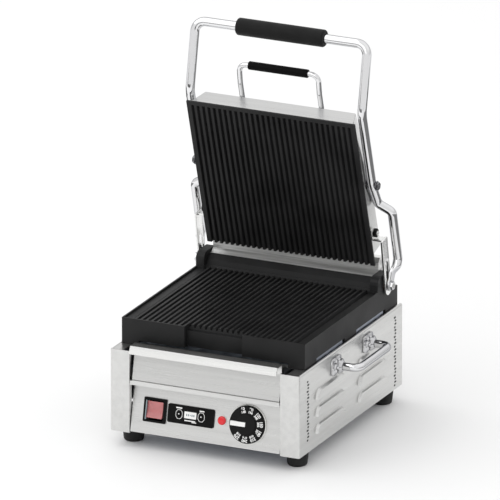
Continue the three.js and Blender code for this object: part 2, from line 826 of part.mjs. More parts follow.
function strapLink() {
  const outer = STRAP_X + STRAP_THICK;
  const bridgeZ = 76;
  const leg = join(
    roundEnded(10, -16, 60, STRAP_X, outer),
    box(STRAP_X, outer, -10, 10, 40, bridgeZ + STRAP_THICK),
  );
  const tabR = 8;
  const bridgeFront = -4.6; // narrower here, to stay clear of the lid's flange when the lid floats
  const bridge = box(TAB_X, outer, bridgeFront, tabR, bridgeZ, bridgeZ + STRAP_THICK);
  const tabOutline = [
    [bridgeFront, bridgeZ],
    [tabR, bridgeZ],
  ];
  for (let k = 0; k <= 10; k++) {
    const angle = (k * Math.PI) / 10;
    tabOutline.push([tabR * Math.cos(angle), STRAP_REACH + tabR * Math.sin(angle)]);
  }
  const tab = slabX(tabOutline, TAB_X, TAB_X + STRAP_THICK);
  return cut(
    join(leg, bridge, tab),
    roundEnded(PIN_R + 0.6, -PIN_R - 1.2, 41, STRAP_X - 1, outer + 1),
    roundX(4.4, TAB_X - 1, TAB_X + 4, 0, STRAP_REACH, 16),
  );
}

// Lid ------------------------------------------------------------------------------------------
// Made in the lid's own frame: X across, Z up along the plate, Y behind the cooking face.

const pivotInLid = inLid(FRAME_PIVOT);
const boltInLid = inLid(STRAP_BOLT);

function inLid({ y, z }) {
  const dy = y - LID_EDGE.y;
  const dz = z - LID_EDGE.z;
  const cos = Math.cos(LID_LEAN);
  const sin = Math.sin(LID_LEAN);
  return { y: dy * cos + dz * sin, z: -dy * sin + dz * cos };
}

function upperPlate() {
  const closedEnd = LID_LENGTH - 6;
  const comb = ribbedOutline(LID_X, -8, 0, 30);
  const shape = new THREE.Shape(comb.map(([x, y]) => new THREE.Vector2(x, y)));
  const ribs = new THREE.ExtrudeGeometry(shape, { depth: closedEnd, bevelEnabled: false });
  const facing = new THREE.Matrix4().set(-1, 0, 0, 0, 0, -1, 0, 0, 0, 0, 1, 0, 0, 0, 0, 1);
  const face = join(
    solid(ribs.applyMatrix4(facing)),
    box(-LID_X, LID_X, 0, 8, closedEnd - 0.1, LID_LENGTH),
  );
  const step = 133.4;
  const behindFlange = [
    box(step, LID_X + 1, 3, 9, -1, LID_LENGTH + 1),
    box(-LID_X - 1, -step, 3, 9, -1, LID_LENGTH + 1),
    box(-LID_X, LID_X, 3, 9, LID_LENGTH - 5, LID_LENGTH + 1),
  ];
  return join(cut(face, ...behindFlange), box(-128, 128, 7.9, 14, 0.5, 250));
}

function lidCover() {
  const front = 3.4;
  const shell = (inset, frontY, backY) =>
    hull([
      [COVER_X - inset, frontY, 13 + inset],
      [-COVER_X + inset, frontY, 13 + inset],
      [COVER_X - inset, backY, 13 + inset],
      [-COVER_X + inset, backY, 13 + inset],
      [COVER_X - inset, backY, 105],
      [-COVER_X + inset, backY, 105],
      [COVER_X - inset, frontY, 257.5 - inset],
      [-COVER_X + inset, frontY, 257.5 - inset],
      [COVER_X - 10 - inset, backY, 255 - inset],
      [-COVER_X + 10 + inset, backY, 255 - inset],
    ]);
  const plateRoom = box(-133.8, 133.8, 2, 9, -1, 255.4);
  const reach = COVER_X + 1;
  return cut(
    shell(0, front, COVER_DEPTH),
    shell(1.2, front - 1, COVER_DEPTH - 1.2),
    box(-COVER_X + 4, COVER_X - 4, 2, COVER_DEPTH - 4, 10, 20),
    plateRoom,
    roundX(4.4, -reach, reach, pivotInLid.y, pivotInLid.z, 16),
    roundX(4.4, -reach, reach, boltInLid.y, boltInLid.z, 16),
  );
}

// The plate that closes the lower end of the lid, behind the casting.
function lidHeatShield() {
  const line = [
    [15, 2],
    [30, 8],
    [30, 12.6],
  ];
  return slabX(folded(line, 1.2), -130, 130);
}

const lidInsulation = () => box(-118, 118, 23.2, 30.2, 28, 240);

// A turned pin along X with a round head on its outer end.
function headedPin(radius, headRadius, x0, headX0, headX1, y, z, sides) {
  return join(
    roundX(radius, x0, headX1 - 0.5, y, z, 16),
    roundX(headRadius, headX0, headX1, y, z, sides),
  );
}

// The small handle above the lid's top edge: a bent rod, with a foot at each end on the cover's back.
function lidHandle() {
  const x = 66;
  const radius = 4;
  const footY = COVER_DEPTH + GAP;
  const legY = footY + radius + 0.1;
  const corners = [
    [-x, legY, 234],
    [-x, legY, 277],
    [-x, SMALL_GRIP.y, SMALL_GRIP.z],
    [x, SMALL_GRIP.y, SMALL_GRIP.z],
    [x, legY, 277],
    [x, legY, 234],
  ];
  const rod = bentBar(corners, [0, 20, 12, 12, 20, 0], radius, 10);
  const foot = box(x - 7, x + 7, footY, footY + 2.4, 224, 246);
  return join(rod, foot, mirrored(foot));
}

// Assembly -------------------------------------------------------------------------------------

function buildBase() {
  addPair(part, "side_panel", sidePanel(), STAINLESS);
  add(part, "foot_front_right", foot(136.5, -149), RUBBER);
  add(part, "foot_front_left", foot(-136.5, -149), RUBBER);
  add(part, "foot_back_right", foot(136.5, 161), RUBBER);
  add(part, "foot_back_left", foot(-136.5, 161), RUBBER);
  add(part, "base_pan", basePan(), GALVANISED);
  add(part, "rear_panel", rearPanel(), STAINLESS);
  add(part, "cord_gland", cordGland(), BLACK_PLASTIC);
  add(part, "tray_shelf", trayShelf(), STAINLESS);
  addPair(part, "tray_rail", trayRail(), GALVANISED);
  add(part, "drip_tray", dripTray(), STAINLESS);
  add(part, "terminal_block", terminalBlock(), PALE_PLASTIC);
  addPair(part, "side_handle_bar", handleBar(), CHROME);
  addPair(part, "side_handle_front_mount", handleMount(-BAR.y), CHROME);
  addPair(part, "side_handle_back_mount", handleMount(BAR.y), CHROME);
}

function buildControls() {
  const panel = new THREE.Group();
  panel.position.set(0, PANEL_MID_Y, PANEL_MID_Z);
  panel.rotation.x = -PANEL_TILT;
  part.add(panel);
  add(panel, "control_panel", controlPanel(), STAINLESS);
  add(panel, "switch_housing", switchHousing(), BLACK_PLASTIC);
  const tilted = new THREE.Group();
  tilted.position.y = SWITCH.pivot;
  tilted.rotation.x = -SWITCH.tilt;
  panel.add(tilted);
  add(tilted, "rocker", rocker(), RED_PLASTIC);
  add(panel, "timer_module", timerModule(), BLACK_PLASTIC);
  add(panel, "timer_button_left", timerButton(TIMER.buttons[0]), BLACK_PLASTIC);
  add(panel, "timer_button_right", timerButton(TIMER.buttons[1]), BLACK_PLASTIC);
  add(panel, "indicator_lamp", indicatorLamp(), LAMP_RED);
  add(panel, "dial_ring", dialRing(), PALE_PLASTIC);
  add(panel, "dial", dial(), BLACK_PLASTIC);
  add(panel, "thermostat_body", thermostatBody(), STEEL);
}

function buildLowerPlate() {
  add(part, "lower_plate", lowerPlate(), CAST_IRON);
  add(part, "heat_shield", heatShield(), GALVANISED);
  add(part, "lower_element", heatingRod(4, 105, -125, 70, ([x, y]) => [x, y, 171]), STEEL);
  add(part, "rear_cover", rearCover(), STAINLESS);
  addPair(part, "bearing_bush", bearingBush(), BRONZE);
  addPair(part, "torsion_spring", torsionSpring(), STEEL);
}

function buildFrame() {
  add(part, "hinge_shaft", hingeShaft(), STEEL);
  addPair(part, "shaft_nut", hexNut(7, EYE.outer + GAP, PIN_END, PIN_R, HINGE.y, HINGE.z), CHROME);
  add(part, "handle_frame", handleFrame(), CHROME);
  add(part, "handle_grip", grip(73, 13.5, FRAME_R, 89.5, 597), BLACK_PLASTIC);
  const strap = new THREE.Group();
  strap.position.set(0, HINGE.y, HINGE.z);
  strap.rotation.x = STRAP_LEAN;
  part.add(strap);
  addPair(strap, "strap_link", strapLink(), STAINLESS);
}

function buildLid() {
  const lid = new THREE.Group();
  lid.position.set(0, LID_EDGE.y, LID_EDGE.z);
  lid.rotation.x = LID_LEAN;
  part.add(lid);
  add(lid, "upper_plate", upperPlate(), CAST_IRON);
  add(lid, "lid_cover", lidCover(), STAINLESS);
  add(lid, "lid_heat_shield", lidHeatShield(), STAINLESS);
  add(lid, "upper_element", heatingRod(3.6, 100, 40, 225, ([x, z]) => [x, 18.2, z]), STEEL);
  add(lid, "lid_insulation", lidInsulation(), WOOL);
  add(lid, "lid_handle", lidHandle(), CHROME);
  add(lid, "lid_handle_grip", grip(49.5, 6.6, 4, SMALL_GRIP.y, SMALL_GRIP.z), BLACK_PLASTIC);
  const { y, z } = pivotInLid;
  addPair(lid, "pivot_screw", headedPin(4, 8, 131, FRAME_X + 7.6, FRAME_X + 13, y, z, 20), BLACK_PLASTIC);
  const bolt = headedPin(4, 7, 131, TAB_X + STRAP_THICK + GAP, 146, boltInLid.y, boltInLid.z, 6);
  addPair(lid, "strap_bolt", bolt, STEEL);
}

buildBase();
buildControls();
buildLowerPlate();
buildFrame();
buildLid();

export default part;
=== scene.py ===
"""The looks of a table-top panini press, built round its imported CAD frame.

Shapes are written in millimetres, in the CAD's own frames, and turned into metres by piece().
"""

import json
import math

import bmesh
import bpy
from mathutils import Matrix, Vector


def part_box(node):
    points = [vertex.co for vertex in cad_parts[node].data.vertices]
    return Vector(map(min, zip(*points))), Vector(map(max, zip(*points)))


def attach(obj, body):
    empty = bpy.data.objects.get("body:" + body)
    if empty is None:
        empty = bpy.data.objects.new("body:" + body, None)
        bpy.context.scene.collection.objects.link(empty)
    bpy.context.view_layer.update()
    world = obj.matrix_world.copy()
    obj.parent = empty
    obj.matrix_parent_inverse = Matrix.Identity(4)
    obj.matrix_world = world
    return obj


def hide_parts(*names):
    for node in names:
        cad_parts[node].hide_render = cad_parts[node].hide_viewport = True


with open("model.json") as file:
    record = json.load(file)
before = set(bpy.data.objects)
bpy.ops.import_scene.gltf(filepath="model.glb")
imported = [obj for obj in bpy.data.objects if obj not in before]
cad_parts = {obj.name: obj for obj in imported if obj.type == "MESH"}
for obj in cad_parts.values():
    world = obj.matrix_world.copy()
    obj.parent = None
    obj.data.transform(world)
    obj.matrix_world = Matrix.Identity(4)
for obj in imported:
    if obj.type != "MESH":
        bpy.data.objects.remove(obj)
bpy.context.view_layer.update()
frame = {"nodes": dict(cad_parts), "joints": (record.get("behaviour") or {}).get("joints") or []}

# Driving dimensions, in millimetres --------------------

MM = 0.001
JOINTS = {joint["name"]: joint for joint in frame["joints"]}


def joint_place(name):
    """The point that a joint turns or slides from."""
    return Vector(JOINTS[name]["pos_m"]) / MM


def node_box(node):
    """The low and high corners of a CAD node."""
    low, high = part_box(node)
    return Vector(low) / MM, Vector(high) / MM


def node_middle(node):
    low, high = node_box(node)
    return (low + high) / 2


def tilted_place(point, angle):
    """A frame at a point, turned about X."""
    return Matrix.Translation(point) @ Matrix.Rotation(angle, 4, "X")


HINGE = joint_place("lid_lift")
PIVOT = joint_place("lid_float")
STRAP_BOLT = joint_place("strap_swing_right")
DIAL_CENTRE = joint_place("dial_turn")
PANEL_TILT = math.atan2(-JOINTS["dial_turn"]["axis"][2], JOINTS["dial_turn"]["axis"][1])
LID_LEAN = math.radians(17)  # the open lid leans this far forward from upright
LID_EDGE = Vector((0, 124, 232))  # the middle of its lower edge, on the cooking face

PANEL_LOW, PANEL_HIGH = node_box("side_panel_right")
BASE_X = 157.5  # half the width of the base
SHEET = 1.2  # the thickness of its sheet
POST_X = PANEL_LOW.x
FRONT_Y = PANEL_LOW.y
BACK_Y = PANEL_HIGH.y
FLOOR_Z = PANEL_LOW.z
TOP_Z = PANEL_HIGH.z

# The tilted frames that the control panel, the lid and the straps are made in.
PANEL_PLACE = tilted_place((0, DIAL_CENTRE.y, DIAL_CENTRE.z), -PANEL_TILT)
LID_PLACE = tilted_place(LID_EDGE, LID_LEAN)
STRAP_LEAN = math.atan2(HINGE.y - STRAP_BOLT.y, STRAP_BOLT.z - HINGE.z)
STRAP_PLACE = tilted_place((0, HINGE.y, HINGE.z), STRAP_LEAN)
MIRROR = Matrix.Scale(-1, 4, (1, 0, 0))
SIDES = (("right", Matrix.Identity(4)), ("left", MIRROR))


# Materials --------------------


NOISE_SPAN = (0.3, 0.7)  # where nearly all the values of a noise lie


class Look:
    """A Principled material whose colour, roughness and bump vary with procedural noise."""

    def __init__(self, name, colour, metallic, roughness):
        self.material = bpy.data.materials.new(name)
        self.material.use_nodes = True
        self.nodes = self.material.node_tree.nodes
        self.links = self.material.node_tree.links
        self.shader = self.nodes["Principled BSDF"]
        self.colour = colour
        self.roughness = roughness
        self.set("Base Color", (*colour, 1))
        self.set("Metallic", metallic)
        self.set("Roughness", roughness)
        self.normal = None

    def set(self, socket, value):
        self.shader.inputs[socket].default_value = value

    def noise(self, scale, detail, turn=0.0):
        """Noise in object space: features per metre on every axis or on each, after a turn about X."""
        scales = [scale] * 3 if isinstance(scale, int) else scale
        place = self.nodes.new("ShaderNodeTexCoord")
        mapping = self.nodes.new("ShaderNodeMapping")
        mapping.vector_type = "TEXTURE"
        mapping.inputs["Rotation"].default_value = (turn, 0, 0)
        mapping.inputs["Scale"].default_value = tuple(1 / s for s in scales)
        noise = self.nodes.new("ShaderNodeTexNoise")
        noise.inputs["Scale"].default_value = 1.0
        noise.inputs["Detail"].default_value = detail
        self.links.new(place.outputs["Object"], mapping.inputs["Vector"])
        self.links.new(mapping.outputs["Vector"], noise.inputs["Vector"])
        return noise.outputs["Fac"]

    def cells(self, scale):
        """Random values in irregular cells, scale of them to a metre."""
        place = self.nodes.new("ShaderNodeTexCoord")
        cells = self.nodes.new("ShaderNodeTexVoronoi")
        cells.inputs["Scale"].default_value = scale
        self.links.new(place.outputs["Object"], cells.inputs["Vector"])
        return cells.outputs["Color"]

    def spread(self, value, low, high):
        """Stretches a noise to run from low to high."""
        node = self.nodes.new("ShaderNodeMapRange")
        node.inputs["From Min"].default_value, node.inputs["From Max"].default_value = NOISE_SPAN
        node.inputs["To Min"].default_value = low
        node.inputs["To Max"].default_value = high
        self.links.new(value, node.inputs["Value"])
        return node.outputs["Result"]

    def vary_colour(self, value, low, high):
        """Mixes from the colour times low to the colour times high."""
        mix = self.nodes.new("ShaderNodeMix")
        mix.data_type = "RGBA"
        mix.inputs["A"].default_value = (*(c * low for c in self.colour), 1)
        mix.inputs["B"].default_value = (*(c * high for c in self.colour), 1)
        self.links.new(value, mix.inputs["Factor"])
        self.links.new(mix.outputs["Result"], self.shader.inputs["Base Color"])

    def mottle(self, scale, detail, low, high):
        """Varies the colour in soft patches."""
        self.vary_colour(self.spread(self.noise(scale, detail), 0, 1), low, high)

    def vary_roughness(self, value, low, high):
        self.links.new(self.spread(value, low, high), self.shader.inputs["Roughness"])

    def bump(self, value, depth_mm, strength=1.0):
        """Adds relief of about that depth."""
        bump = self.nodes.new("ShaderNodeBump")
        bump.inputs["Distance"].default_value = depth_mm * MM
        bump.inputs["Strength"].default_value = strength
        self.links.new(value, bump.inputs["Height"])
        if self.normal:
            self.links.new(self.normal, bump.inputs["Normal"])
        self.normal = bump.outputs["Normal"]
        self.links.new(self.normal, self.shader.inputs["Normal"])


FINE_GRAIN = (12, 1500)  # features per metre, along and across the grain
BROAD_GRAIN = (3, 120)


def grain_noise(look, grain, scales, turn):
    """Noise drawn out along one axis."""
    along, across = scales
    return look.noise([along if axis == grain else across for axis in "XYZ"], 3, turn)


def brushed(name, colour, grain, roughness=(0.26, 0.35), turn=0.0, streak=0.045):
    """Brushed sheet: fine lines along the grain axis, and broad streaks of that strength."""
    look = Look(name, colour, 1.0, roughness[0])
    fine = grain_noise(look, grain, FINE_GRAIN, turn)
    broad = grain_noise(look, grain, BROAD_GRAIN, turn)
    look.vary_roughness(fine, *roughness)
    look.vary_colour(look.spread(broad, 0, 1), 1 - streak, 1 + streak)
    look.bump(fine, 0.01, 0.2)
    return look.material


def polished(name, colour=(0.80, 0.80, 0.81)):
    """Chrome with faint wiping marks."""
    look = Look(name, colour, 1.0, 0.05)
    look.set("Specular Tint", (0.3, 0.31, 0.33, 1))
    look.vary_roughness(look.noise((60, 60, 400), 4), 0.03, 0.1)
    look.mottle(14, 2, 0.96, 1.0)
    return look.material


def galvanised():
    """Zinc-coated sheet: a bluish grey spangle."""
    look = Look("galvanised_zinc", (0.33, 0.36, 0.42), 1.0, 0.4)
    spangle = look.cells(140)
    look.vary_colour(spangle, 0.8, 1.15)
    look.vary_roughness(spangle, 0.32, 0.5)
    look.bump(look.noise(300, 2), 0.03)
    return look.material


def enamelled_iron():
    """Black enamelled casting: a fine orange-peel surface with a few duller patches."""
    look = Look("black_cast_iron", (0.017, 0.017, 0.0173), 0.0, 0.45)
    look.set("Specular IOR Level", 0.16)
    grain = look.noise(900, 5)
    patches = look.noise(18, 4)
    look.vary_colour(look.spread(patches, 0, 1), 0.8, 1.3)
    look.vary_roughness(patches, 0.38, 0.56)
    look.bump(grain, 0.12, 0.6)
    look.bump(look.noise(70, 3), 0.15, 0.35)
    return look.material


def moulded(name, colour, roughness=(0.4, 0.5), depth=0.03, specular=0.5):
    """Moulded plastic with a fine spark-eroded texture."""
    look = Look(name, colour, 0.0, roughness[0])
    look.set("Specular IOR Level", specular)
    look.vary_roughness(look.noise(40, 3), *roughness)
    look.mottle(25, 3, 0.92, 1.06)
    look.bump(look.noise(1600, 2), depth)
    return look.material


def foam_grip():
    """Closed-cell foam sleeve: soft black with tiny pores."""
    look = Look("grip_foam", grey(0.006), 0.0, 0.62)
    look.set("Specular IOR Level", 0.16)
    look.set("Sheen Weight", 0.06)
    look.set("Sheen Roughness", 0.5)
    look.mottle(30, 3, 0.8, 1.25)
    look.vary_roughness(look.noise(55, 3), 0.55, 0.7)
    look.bump(look.noise(1100, 3), 0.1, 0.8)
    return look.material


def rubber():
    look = Look("foot_rubber", grey(0.009), 0.0, 0.6)
    look.set("Specular IOR Level", 0.3)
    look.vary_roughness(look.noise(80, 4), 0.5, 0.75)
    look.mottle((40, 40, 160), 3, 0.8, 1.35)
    look.bump(look.noise(700, 3), 0.05)
    return look.material


def tinted(name, colour, roughness):
    """Glossy coloured plastic that light sinks into."""
    look = Look(name, colour, 0.0, roughness)
    look.set("Subsurface Weight", 0.2)
    look.set("Subsurface Radius", (0.004, 0.001, 0.001))
    look.set("Coat Weight", 0.4)
    look.set("Coat Roughness", 0.12)
    look.mottle(120, 3, 0.93, 1.05)
    look.vary_roughness(look.noise(200, 2), roughness * 0.8, roughness * 1.3)
    return look.material


def bronze():
    look = Look("sintered_bronze", (0.16, 0.12, 0.08), 1.0, 0.4)
    look.vary_roughness(look.noise(400, 3), 0.35, 0.5)
    look.mottle(200, 3, 0.85, 1.1)
    look.bump(look.noise(1500, 2), 0.03)
    return look.material


def mineral_wool():
    look = Look("mineral_wool", (0.62, 0.55, 0.40), 0.0, 0.95)
    fibres = look.noise((900, 900, 120), 6)
    look.vary_colour(look.spread(fibres, 0, 1), 0.75, 1.15)
    look.bump(fibres, 0.6)
    return look.material


def grey(value):
    return (value, value, value)


STAINLESS_COLOUR = (0.66, 0.66, 0.65)

# Each look is a material and the CAD's material slot that it stands for.
LOOKS = {
    "stainless_x": (brushed("stainless_across", STAINLESS_COLOUR, "X"), "stainless"),
    "stainless_y": (brushed("stainless_side", STAINLESS_COLOUR, "Y"), "stainless"),
    "stainless_lid": (brushed("stainless_lid", (0.64, 0.64, 0.635), "X", turn=LID_LEAN), "stainless"),
    "stainless_cover": (
        brushed("stainless_cover", (0.70, 0.70, 0.69), "X", (0.34, 0.5), streak=0.4),
        "stainless",
    ),
    "stainless_strap": (brushed("stainless_strap", (0.86, 0.86, 0.85), "Z", (0.16, 0.26)), "stainless"),
    "chrome": (polished("chrome_tube"), "chrome"),
    # The screws' chrome is darkened: painted dark reflection, not a different metal.
    "screw_chrome_painted_dark": (polished("screw_chrome_painted_dark", (0.30, 0.30, 0.31)), "chrome"),
    # The handle mounts' chrome is darkened: painted dark reflection, not a different metal.
    "mount_chrome_painted_dark": (polished("mount_chrome_painted_dark", (0.62, 0.62, 0.63)), "chrome"),
    "galvanised": (galvanised(), "galvanised"),
    "cast_iron": (enamelled_iron(), "cast_iron"),
    "black_plastic": (moulded("black_plastic", grey(0.003), (0.4, 0.5), 0.03, 0.12), "black_plastic"),
    "dial_black": (moulded("dial_black", grey(0.006), (0.45, 0.6), 0.02, 0.15), "black_plastic"),
    "grip_foam": (foam_grip(), "black_plastic"),
    "small_grip": (moulded("small_grip", grey(0.0015), (0.45, 0.6), 0.02, 0.08), "black_plastic"),
    # Painted shade: the dark inside the vent holes, laid on the side sheet as dark plates.
    "painted_hole_shade": (moulded("painted_hole_shade", grey(0.025), (0.6, 0.8), 0.02, 0.2), "black_plastic"),
    "pale_plastic": (moulded("pale_plastic", (0.8, 0.8, 0.77)), "pale_plastic"),
    "white_print": (moulded("white_print", (0.85, 0.85, 0.84), (0.5, 0.6), 0.01), "pale_plastic"),
    "grey_seal": (moulded("grey_seal", (0.24, 0.29, 0.31), (0.3, 0.4)), "black_plastic"),
    "red_plastic": (tinted("rocker_red", (0.50, 0.17, 0.17), 0.35), "red_plastic"),
    "lamp_red": (tinted("lamp_red", (0.72, 0.008, 0.016), 0.12), "lamp_red"),
    "foot_rubber": (rubber(), "foot_rubber"),
    "steel": (brushed("plain_steel", (0.45, 0.45, 0.44), "X", (0.3, 0.45)), "steel"),
    "bronze": (bronze(), "bronze"),
    "mineral_wool": (mineral_wool(), "mineral_wool"),
}


# Mesh tools --------------------


def add_object(name, data):
    obj = bpy.data.objects.new(name, data)
    bpy.context.scene.collection.objects.link(obj)
    return obj


def mesh_object(name, bm):
    mesh = bpy.data.meshes.new(name)
    bm.to_mesh(mesh)
    bm.free()
    return add_object(name, mesh)


def piece(name, mesh_data, look, body, cad=(), place=Matrix.Identity(4), bevel=0.0, angle=32):
    """Millimetre mesh data becomes a piece in metres that rides on a body and stands for CAD nodes."""
    bmesh.ops.transform(mesh_data, matrix=Matrix.Scale(MM, 4) @ place, verts=mesh_data.verts)
    bmesh.ops.recalc_face_normals(mesh_data, faces=mesh_data.faces)
    mesh_data.normal_update()
    for edge in mesh_data.edges:
        edge.smooth = len(edge.link_faces) == 2 and edge.calc_face_angle(0) < math.radians(angle)
    for face in mesh_data.faces:
        face.smooth = True
    obj = mesh_object(name, mesh_data)
    if bevel:
        soften(obj, bevel, angle)
    material, slot = LOOKS[look]
    obj.data.materials.append(material)
    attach(obj, body)
    if cad:
        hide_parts(*cad)
    return obj


def soften(obj, width_mm, angle=32):
    """Rounds the sharp edges of an object with a bevel modifier."""
    bevel = obj.modifiers.new("rounded_edges", "BEVEL")
    bevel.width = width_mm * MM
    bevel.segments = 3
    bevel.limit_method = "ANGLE"
    bevel.angle_limit = math.radians(angle)
    bevel.harden_normals = True


def refine(node, look, bevel):
    """Keeps a CAD node's own shape, with rounded edges and a better material."""
    obj = frame["nodes"][node]
    join_flats = obj.modifiers.new("joined_flats", "DECIMATE")
    join_flats.decimate_type = "DISSOLVE"
    join_flats.angle_limit = math.radians(0.5)
    if bevel:
        soften(obj, bevel)
    obj.data.materials.clear()
    obj.data.materials.append(LOOKS[look][0])


def bent_line(corners, bends, steps):
    """Stations of (point, direction) along straights joined by round bends."""
    points = [Vector(c) for c in corners]
    stations = []
    for i, corner in enumerate(points):
        inward = (corner - points[i - 1]).normalized() if i else None
        outward = (points[i + 1] - corner).normalized() if i < len(points) - 1 else None
        if not inward or not outward:
            stations.append((corner, inward or outward))
            continue
        turn = inward.angle(outward)
        start = corner - inward * bends[i] * math.tan(turn / 2)
        centre = corner + (outward - inward).normalized() * bends[i] / math.cos(turn / 2)
        axis = inward.cross(outward).normalized()
        for k in range(steps + 1):
            rotation = Matrix.Rotation(turn * k / steps, 3, axis)
            stations.append((centre + rotation @ (start - centre), rotation @ inward))
    return stations


def ring_faces(bm, rings, closed=False):
    """Joins rings of vertices into a skin, and caps the ends unless the rings close on themselves."""
    pairs = list(zip(rings, rings[1:] + rings[:1])) if closed else list(zip(rings, rings[1:]))
    count = len(rings[0])
    for a, b in pairs:
        for k in range(count):
            bm.faces.new((a[k], a[(k + 1) % count], b[(k + 1) % count], b[k]))
    if not closed:
        bm.faces.new(rings[0][::-1])
        bm.faces.new(rings[-1])


def mirrored_bar(bm, right, bends, radius, sides):
    """A bent round bar; its left half mirrors the right half."""
    left = [(-x, y, z) for x, y, z in reversed(right)]
    sweep(bm, bent_line(left + right, bends[::-1] + bends, 12), radius, sides)


def round_ring(bm, centre, u, v, radius, sides):
    """Vertices on a circle in the plane of u and v."""
    turns = (2 * math.pi * k / sides for k in range(sides))
    return [bm.verts.new(centre + (u * math.cos(a) + v * math.sin(a)) * radius) for a in turns]


def sweep(bm, stations, radius, sides):
    """A round bar along the stations, with frames carried along without twist."""
    side = stations[0][1].orthogonal().normalized()
    rings = []
    for point, direction in stations:
        side = (side - direction * side.dot(direction)).normalized()
        rings.append(round_ring(bm, point, side, direction.cross(side), radius, sides))
    ring_faces(bm, rings)


X, Y, Z = (Vector(row) for row in Matrix.Identity(3))
AXIS_FRAMES = {"X": (X, Y, Z), "Y": (Y, Z, X), "Z": (Z, X, Y)}  # an axis, and the plane across it


def turned(profile, axis, centre, sides=64, bm=None):
    """A turned solid: pairs of radius and distance along the axis. It is hollow if the profile closes."""
    bm = bm or bmesh.new()
    along, u, v = AXIS_FRAMES[axis]
    closed = profile[0] == profile[-1]
    rings = []
    for radius, distance in profile[: -1 if closed else None]:
        middle = Vector(centre) + along * distance
        rings.append(round_ring(bm, middle, u, v, radius, sides))
    ring_faces(bm, rings, closed)
    return bm


def prism(outline, axis, low, high, bm=None):
    """An outline in the plane across an axis, pushed from low to high along it."""
    bm = bm or bmesh.new()
    along, u, v = AXIS_FRAMES[axis]
    rings = [[bm.verts.new(u * a + v * b + along * h) for a, b in outline] for h in (low, high)]
    ring_faces(bm, rings)
    return bm


def pierced(outline, holes, axis, low, high, bm=None):
    """A flat plate with holes through it."""
    bm = bm or bmesh.new()
    along, u, v = AXIS_FRAMES[axis]
    edges = []
    for loop in (outline, *holes):
        verts = [bm.verts.new(u * a + v * b + along * low) for a, b in loop]
        edges += [bm.edges.new((p, q)) for p, q in zip(verts, verts[1:] + verts[:1])]
    filled = bmesh.ops.triangle_fill(bm, use_beauty=True, use_dissolve=False, edges=edges)
    faces = [g for g in filled["geom"] if isinstance(g, bmesh.types.BMFace)]
    pushed = bmesh.ops.extrude_face_region(bm, geom=faces, use_keep_orig=True)
    verts = [g for g in pushed["geom"] if isinstance(g, bmesh.types.BMVert)]
    bmesh.ops.translate(bm, vec=along * (high - low), verts=verts)
    return bm


def block(x0, x1, y0, y1, z0, z1, bm=None):
    return prism([(y0, z0), (y1, z0), (y1, z1), (y0, z1)], "X", x0, x1, bm)


def arc(centre, radius, start, end, steps):
    """Points on a circle from the start angle to the end angle, both included."""
    turns = [start + (end - start) * k / steps for k in range(steps + 1)]
    return [(centre[0] + radius * math.cos(a), centre[1] + radius * math.sin(a)) for a in turns]


def rounded_rectangle(half_a, half_b, radius, centre=(0, 0), steps=6):
    """An outline with rounded corners; its first number runs along the plane's first axis."""
    points = []
    for quarter, (sa, sb) in enumerate(((1, 1), (-1, 1), (-1, -1), (1, -1))):
        corner = (centre[0] + sa * (half_a - radius), centre[1] + sb * (half_b - radius))
        start = math.pi / 2 * quarter
        points += arc(corner, radius, start, start + math.pi / 2, steps)
    return points


def circle(radius, centre=(0, 0), sides=40):
    return arc(centre, radius, 0, 2 * math.pi, sides)[:-1]


def superellipse(angle, power):
    """How far a unit outline reaches at an angle: power 2 is round, and a higher power is squarer."""
    return 1 / (abs(math.cos(angle)) ** power + abs(math.sin(angle)) ** power) ** (1 / power)


# Base --------------------

PROUD = 0.02  # how far a shape stands clear of the face that it lies on

LOUVER_OUT = 4.5
LOUVER_TALL = 15
LOUVER_CORNER = 14
LOUVER_SLOPE = 2.6  # how wide the rounded rise at a hood's edge is
LOUVER_COLUMNS = ((-130, -25), (25, 130))
LOUVER_TOPS = (115, 88, 60.5)
LOUVER_SHEET = 1
LOUVER_FINE = 0.7  # the mesh step where a hood curves
LOUVER_COARSE = 8


def smooth_step(value):
    """Eases from 0 to 1, and stays there on either side."""
    value = min(max(value, 0), 1)
    return value * value * (3 - 2 * value)


def louver_height(y, z, y0, y1, top):
    """How far a hood stands out at a point: it rises along its top and its two ends."""
    corner = LOUVER_CORNER
    from_end = min(y - y0, y1 - y)
    from_top = top - z
    inside = min(from_end, from_top)
    if from_end < corner and from_top < corner:
        inside = corner - math.hypot(corner - from_end, corner - from_top)
    return LOUVER_OUT * smooth_step(inside / LOUVER_SLOPE)


def steps_between(start, end, step):
    """Even values from start up to end, without end, no further apart than a step."""
    count = max(1, math.ceil((end - start) / step))
    return [start + (end - start) * k / count for k in range(count)]


def louver_hood(bm, y0, y1, top):
    """A thin hood over one slot of the right side panel, open along its lower edge."""
    curved = LOUVER_CORNER + 1
    along = steps_between(y0, y0 + curved, LOUVER_FINE)
    along += steps_between(y0 + curved, y1 - curved, LOUVER_COARSE)
    along += [*steps_between(y1 - curved, y1, LOUVER_FINE), y1]
    up = [*steps_between(top - LOUVER_TALL, top, LOUVER_FINE), top]

    def skin(x):
        return [[bm.verts.new((x + louver_height(y, z, y0, y1, top), y, z)) for y in along] for z in up]

    skins = [skin(BASE_X + PROUD), skin(BASE_X + PROUD - LOUVER_SHEET)]
    for grid in skins:
        for a, b in zip(grid, grid[1:]):
            for k in range(len(along) - 1):
                bm.faces.new((a[k], a[k + 1], b[k + 1], b[k]))
    outer, inner = (grid[0] for grid in skins)
    for k in range(len(along) - 1):
        bm.faces.new((outer[k], outer[k + 1], inner[k + 1], inner[k]))


FOLD_R = 3  # the outer radius of the side panel's folds
POST_LIP = 8  # how far the front post's inner edge turns back
LEDGE_X = 136  # where the flange on top of each front post ends
PLATE_FRONT_Y = node_box("lower_plate")[0].y
BOTTOM_FLANGE = 16
SLOT_END = 4  # how much shorter a slot is than its hood, at each end
SLOT_RANGE = (15.5, 9)  # a slot's lower and upper edge, below the top of its hood


def louver_places():
    """The two ends and the top of each hood."""
    return [(y0, y1, top) for y0, y1 in LOUVER_COLUMNS for top in LOUVER_TOPS]


